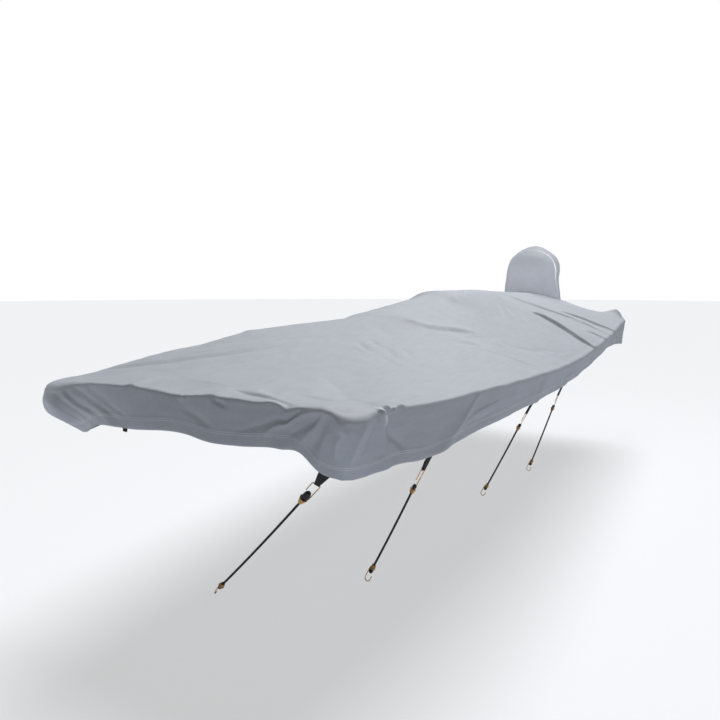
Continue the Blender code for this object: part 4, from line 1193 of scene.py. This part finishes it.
# slack of the hood: height, folds round it, their slant, their start
HOOD_RIPPLES = ((0.0030, 5, 9, 0.0), (0.0018, 11, -14, 1.0))
RIPPLE_FADES = (0.30, 0.05, 0.66, 0.2)       # from where they grow, and to where they fade
HOOD_RADIUS = 0.24       # for the hood's map
HOOD_SEAM = (4.325, 0.70)     # station and height on the hood's seam
HOOD_SEAM_RUN = 0.15          # it runs aft this much per metre it falls
WELT = 0.0035            # height of the raised seam
WELT_WIDTH = 0.008
PALE_HALF_WIDTH = 0.0085      # of the welt's pale cloth
WELT_HIGHLIGHT = (0.25, 9.0)      # where up the hood the welt's painted highlight is, and how fast it fades
PATCH = (0.060, 0.035, 0.025)      # height of the patch, how far ahead, half width
WELT_STITCHES = 0.011         # from the middle of the welt
HOOD_CROWN = (0.315, 0.355)   # heights between which the crown begins
HOOD_PAINTED_LIGHT_AND_SHADE = (-0.08, 0.34, 1.24, 0.76)   # painted light and shade on the hood: two heights, and the colour's share at each


def cover_height(x, y):
    """Height of the top of the cover at a place."""
    return top_height(x / read(SIDES, 1, y), y / LENGTH) + crease_height(x, y, TOP_FOLDS)


def hood_ring(s, angle):
    """Points of the hood at a row of its table, which may lie between two."""
    table = np.column_stack((np.arange(len(HOOD)), HOOD))
    height, half_width, middle, half_length, sideways, squareness = (
        read(table, column, s) for column in range(1, 7))
    power = 2 / squareness
    x = sideways + half_width * np.sign(np.cos(angle)) * np.abs(np.cos(angle))**power
    y = middle + half_length * np.sign(np.sin(angle)) * np.abs(np.sin(angle))**power
    return np.column_stack((x, y, np.full_like(x, height)))


def hood_points():
    """Rings from the turned-in foot to the crown."""
    # even steps round a squared oval
    fine = 2 * math.pi * np.arange(OUTLINE_CUTS) / OUTLINE_CUTS
    outline = hood_ring(1.0, fine)
    steps = np.linalg.norm(outline - np.roll(outline, 1, axis=0), axis=1)
    way = np.cumsum(steps) - steps[0]
    angle = np.interp(np.arange(HOOD_SIDES) * (way[-1] + steps[0]) / HOOD_SIDES, way, fine)
    foot = hood_ring(1.0, angle)
    seat = cover_height(foot[:, 0], foot[:, 1])
    rings = [np.column_stack((foot[:, :2], seat + lift)) for lift in HOOD_FOOT]
    clear, upper = rings[-1], hood_ring(HOOD_START, angle)
    for k in range(1, FOOT_STEPS):
        t = k / FOOT_STEPS
        rings.append(clear * (1 - t) + upper * t)
    for s in np.linspace(HOOD_START, len(HOOD) - 1, HOOD_RINGS):
        rings.append(hood_ring(s, angle))
    rings = np.array(rings)
    turn = np.linspace(0, 2 * math.pi, HOOD_SIDES, endpoint=False)
    z = rings[..., 2]
    # soft upright folds that fade towards the foot and the crown
    foot_end, foot_run, crown_end, crown_run = RIPPLE_FADES
    fade = (np.clip((crown_end - z) / crown_run, 0, 1) *
            np.clip((z - foot_end) / foot_run, 0, 1))
    ripple = sum(rise * np.sin(folds * turn + slant * z + start)
                 for rise, folds, slant, start in HOOD_RIPPLES)
    outward = rings[..., :2] - np.array((HOOD[2, 4], HOOD[2, 2]))
    outward /= np.linalg.norm(outward, axis=-1, keepdims=True) + 1e-9
    rings[..., :2] += outward * (fade * ripple)[..., None]
    return rings, turn


def hood_material():
    """The same polyester, with the pale welt in its seam and stitches beside it."""
    paint = Nodes("blue_grey_hood_polyester")
    colour, roughness, relief = woven_cloth(paint)
    seam = paint.attribute("from_seam")
    _, along = paint.uv("cloth")
    beside = paint.maths("ABSOLUTE", seam)
    welt = paint.maths("LESS_THAN", beside, PALE_HALF_WIDTH)
    # the pale welt has a painted highlight half way down, and a pale patch sits at its foot
    whitest, fading = WELT_HIGHLIGHT
    welt_highlight = paint.maths("SUBTRACT", 1.0, paint.maths("ABSOLUTE", paint.maths(
        "MULTIPLY", paint.maths("SUBTRACT", along, whitest), fading)))
    pale = paint.mix(paint.ramp(welt_highlight, 0.2, 0.6), (0.58, 0.61, 0.66, 1), (0.95, 0.96, 0.97, 1))
    top, ahead, half = PATCH
    patch = paint.maths("MULTIPLY", paint.maths("LESS_THAN", along, top), paint.maths(
        "LESS_THAN", paint.maths("ABSOLUTE", paint.maths("ADD", seam, ahead)), half))
    # over the crown the cloth hides the welt; painted light makes the hood's foot paler and
    # painted shade makes its crown darker
    height = paint.add("ShaderNodeSeparateXYZ", {0: paint.place()}, output=2)
    crown = paint.ramp(height, *HOOD_CROWN)
    welt = paint.maths("MULTIPLY", paint.maths("MAXIMUM", welt, patch),
                       paint.maths("SUBTRACT", 1.0, crown))
    colour = paint.add("ShaderNodeVectorMath", {0: colour, 3: paint.ramp(height, *HOOD_PAINTED_LIGHT_AND_SHADE)},
                       operation="SCALE")
    thread = dashes(paint, along, beside, WELT_STITCHES)
    return stitched(paint, paint.mix(welt, colour, pale), thread, roughness, relief)


rings, turn = hood_points()
count = HOOD_SIDES
quads = quads_of(len(rings), count, 0, closed=True)
hood_surface = placed(rings.reshape(-1, 3))
around = np.concatenate((turn, (2 * math.pi,))) * HOOD_RADIUS
ring_way = np.concatenate(((0,), np.cumsum(np.linalg.norm(
    np.diff(rings, axis=0), axis=2).mean(axis=1))))
grid_j, grid_i = np.divmod(np.arange(len(quads)), count)
hood_map = corner_map((around[grid_i], ring_way[grid_j]),
                      (around[grid_i + 1], ring_way[grid_j]),
                      (around[grid_i + 1], ring_way[grid_j + 1]),
                      (around[grid_i], ring_way[grid_j + 1]))
hood_cloth = hood_material()
seam_normal = Vector((0.0, 1.0, HOOD_SEAM_RUN)).normalized()
seam_point = Vector(placed((0.0, *HOOD_SEAM)))
crown_low, crown_high = HOOD_CROWN
for name, side in (("hood_front", -1), ("hood_back", 1)):
    piece = sheet_object(f"{name}_cloth", hood_surface, quads, {"cloth": hood_map},
                         {"from_seam": np.zeros(len(hood_surface))}, hood_cloth)
    shape = bmesh.new()
    shape.from_mesh(piece.data)
    bmesh.ops.remove_doubles(shape, verts=shape.verts, dist=0.0002)
    for off in (WELT_WIDTH, WELT_WIDTH / 2, 0.0):
        bmesh.ops.bisect_plane(shape, geom=shape.verts[:] + shape.edges[:] + shape.faces[:],
                               plane_co=seam_point + seam_normal * side * off,
                               plane_no=seam_normal * side,
                               clear_inner=off == 0.0)
    layer = shape.verts.layers.float["from_seam"]
    shape.normal_update()
    for vert in shape.verts:
        away = (vert.co - seam_point).dot(seam_normal)
        vert[layer] = away
        raised = max(0.0, 1 - (abs(away) / WELT_WIDTH)**2)
        hidden = min(1.0, max(0.0, (vert.co.z - crown_low) / (crown_high - crown_low)))
        vert.co += vert.normal * WELT * raised * (1 - hidden)
    shape.to_mesh(piece.data)
    shape.free()
    finish_cloth(piece, name)

# ------------------------------------------------------------ webbing loops
# Black polyester webbing sewn flat inside the hem, folded round the hook's wire. Port loops
# hold hooks; starboard loops have the same shape.
WEBBING = 0.0018         # its thickness
LOOP_TUCK = 0.022        # how far it reaches above the hem
LOOP_LIP = 0.004         # and how far below the hem it is still flat
STRAP_CUTS = 9           # points across it
RIBS = 0.0022            # its weave, along it
YARNS = 0.0030           # and across it
# name, metres along the rim from the starboard bow corner (minus is back along it), width at
# the hem and at the hook, depth behind the cloth, hook's crossing, direction across the strap
LOOPS = (
    ("port_1", 1.205, 0.030, 0.018, 0.00410, TIES[0][0], TIES[0][2]),
    ("port_2", 1.760, 0.032, 0.018, 0.00336, TIES[1][0], TIES[1][2]),
    ("port_3", 2.830, 0.030, 0.018, 0.00347, TIES[2][0], TIES[2][2]),
    ("port_4", 3.440, 0.030, 0.018, 0.00328, TIES[3][0], TIES[3][2]),
    ("starboard_1", -0.30, 0.030, 0.018, 0.00331,
     (-0.6617, -2.1589, -0.5956), (0.0172, -0.9194, 0.3930)),
    ("starboard_2", -0.80, 0.032, 0.018, 0.00327,
     (-0.7161, -1.6776, -0.5824), (-0.2366, -0.7636, 0.6008)),
    ("starboard_3", -1.58, 0.030, 0.018, 0.00331,
     (-0.7514, -0.8756, -0.5950), (-0.0109, -0.9825, 0.1861)),
    ("starboard_4", -2.30, 0.030, 0.018, 0.00333,
     (-0.7722, -0.1726, -0.5875), (-0.1258, -0.8814, 0.4552)),
)


def webbing_material():
    """Black webbing: a ribbed weave across the strap, dusty on its high ribs."""
    paint = Nodes("black_webbing")
    across, along = paint.uv("strap")
    rib = paint.maths("SINE", paint.maths("MULTIPLY", along, 2 * math.pi / RIBS))
    yarn = paint.maths("SINE", paint.maths("MULTIPLY", across, 2 * math.pi / YARNS))
    weave = paint.maths("MULTIPLY", rib, yarn)
    dust = paint.noise(70.0, 4.0)
    colour = paint.mix(paint.ramp(weave, -1, 1), (0.008, 0.008, 0.009, 1),
                       (0.030, 0.030, 0.033, 1))
    colour = paint.mix(paint.ramp(dust, 0.5, 0.8, 0.0, 0.35), colour, (0.09, 0.085, 0.08, 1))
    return paint.finish(Base_Color=colour, Roughness=paint.ramp(dust, 0.3, 0.7, 0.7, 0.9),
                        Normal=paint.bump(weave, 0.0005, 0.6))


def hem_frame(rings, reach, place):
    """Hem point, directions up and outward at metres along the rim."""
    k = int(np.clip(np.searchsorted(reach, place) - 1, 0, len(reach) - 2))
    t = (place - reach[k]) / (reach[k + 1] - reach[k])
    point = rings[-1, k] * (1 - t) + rings[-1, k + 1] * t
    higher = rings[-5, k] * (1 - t) + rings[-5, k + 1] * t
    forward = rings[-1, k + 1] - rings[-1, k]
    up = unit(higher - point)
    return point, up, unit(np.cross(unit(forward), up))


def between(first, last):
    """Rows of points evenly between two rows."""
    return [first * (1 - t) + last * t for t in np.linspace(0, 1, 12)[1:-1]]


def strap_points(place, wide, narrow, depth, bar, across, rings, reach):
    """Rows of points along the strap: down inside the hem and round the hook. The inner
    layer then rises to the hem's edge and falls back round the hook; it has no sewn end."""
    spread = np.linspace(-1, 1, STRAP_CUTS)

    def inside(rise, behind):
        row = []
        for end in spread:
            hem, up, outward = hem_frame(rings, reach, place + end * wide / 2)
            row.append(placed(hem + up * rise - outward * behind))
        return np.array(row)

    hem, _, outward = hem_frame(rings, reach, place)
    bar, across = np.array(bar), unit(across)
    pull = unit(bar - placed(hem - outward * depth))
    pull = unit(pull - across * np.dot(pull, across))
    normal = np.cross(across, pull)
    side = normal if np.dot(normal, outward) > 0 else -normal
    bend = WIRE / 2 + GAP + WEBBING / 2
    sewn = [inside(rise, depth) for rise in np.linspace(LOOP_TUCK, -LOOP_LIP, 8)]
    around = []
    for degrees in range(0, 181, 15):
        angle = math.radians(degrees)
        offset = side * math.cos(angle) + pull * math.sin(angle)
        around.append(bar + offset * bend + across * spread[:, None] * narrow / 2)
    inner = inside(-LOOP_LIP, depth + WEBBING + 2 * GAP)
    return np.array(sewn + between(sewn[-1], around[0]) + around +
                    between(around[-1], inner) + around)


black_webbing = webbing_material()
for label, place, wide, narrow, depth, bar, across in LOOPS:
    # each loop follows the hem of the panel that it is sewn to
    sewn_to = "fore_panel" if bar[1] + ORIGIN_Y < SEAM_Y else "aft_panel"
    rings, reach, girth = panels[sewn_to]
    rows = strap_points(place % girth, wide, narrow, depth, bar, across, rings, reach)
    steps = np.linalg.norm(np.diff(rows[:, STRAP_CUTS // 2], axis=0), axis=1)
    lengths = np.concatenate(((0,), np.cumsum(steps)))
    quads = quads_of(*rows.shape[:2], 0)
    spots = np.stack(np.meshgrid(np.linspace(-0.5, 0.5, STRAP_CUTS) * wide, lengths),
                     axis=-1).reshape(-1, 2)
    strap = sheet_object(f"webbing_{label}", rows.reshape(-1, 3), quads,
                         {"strap": spots[quads]}, {}, black_webbing)
    apply_thickness(strap, WEBBING, 0.0, False)
    stands_for(f"loop_{label}")
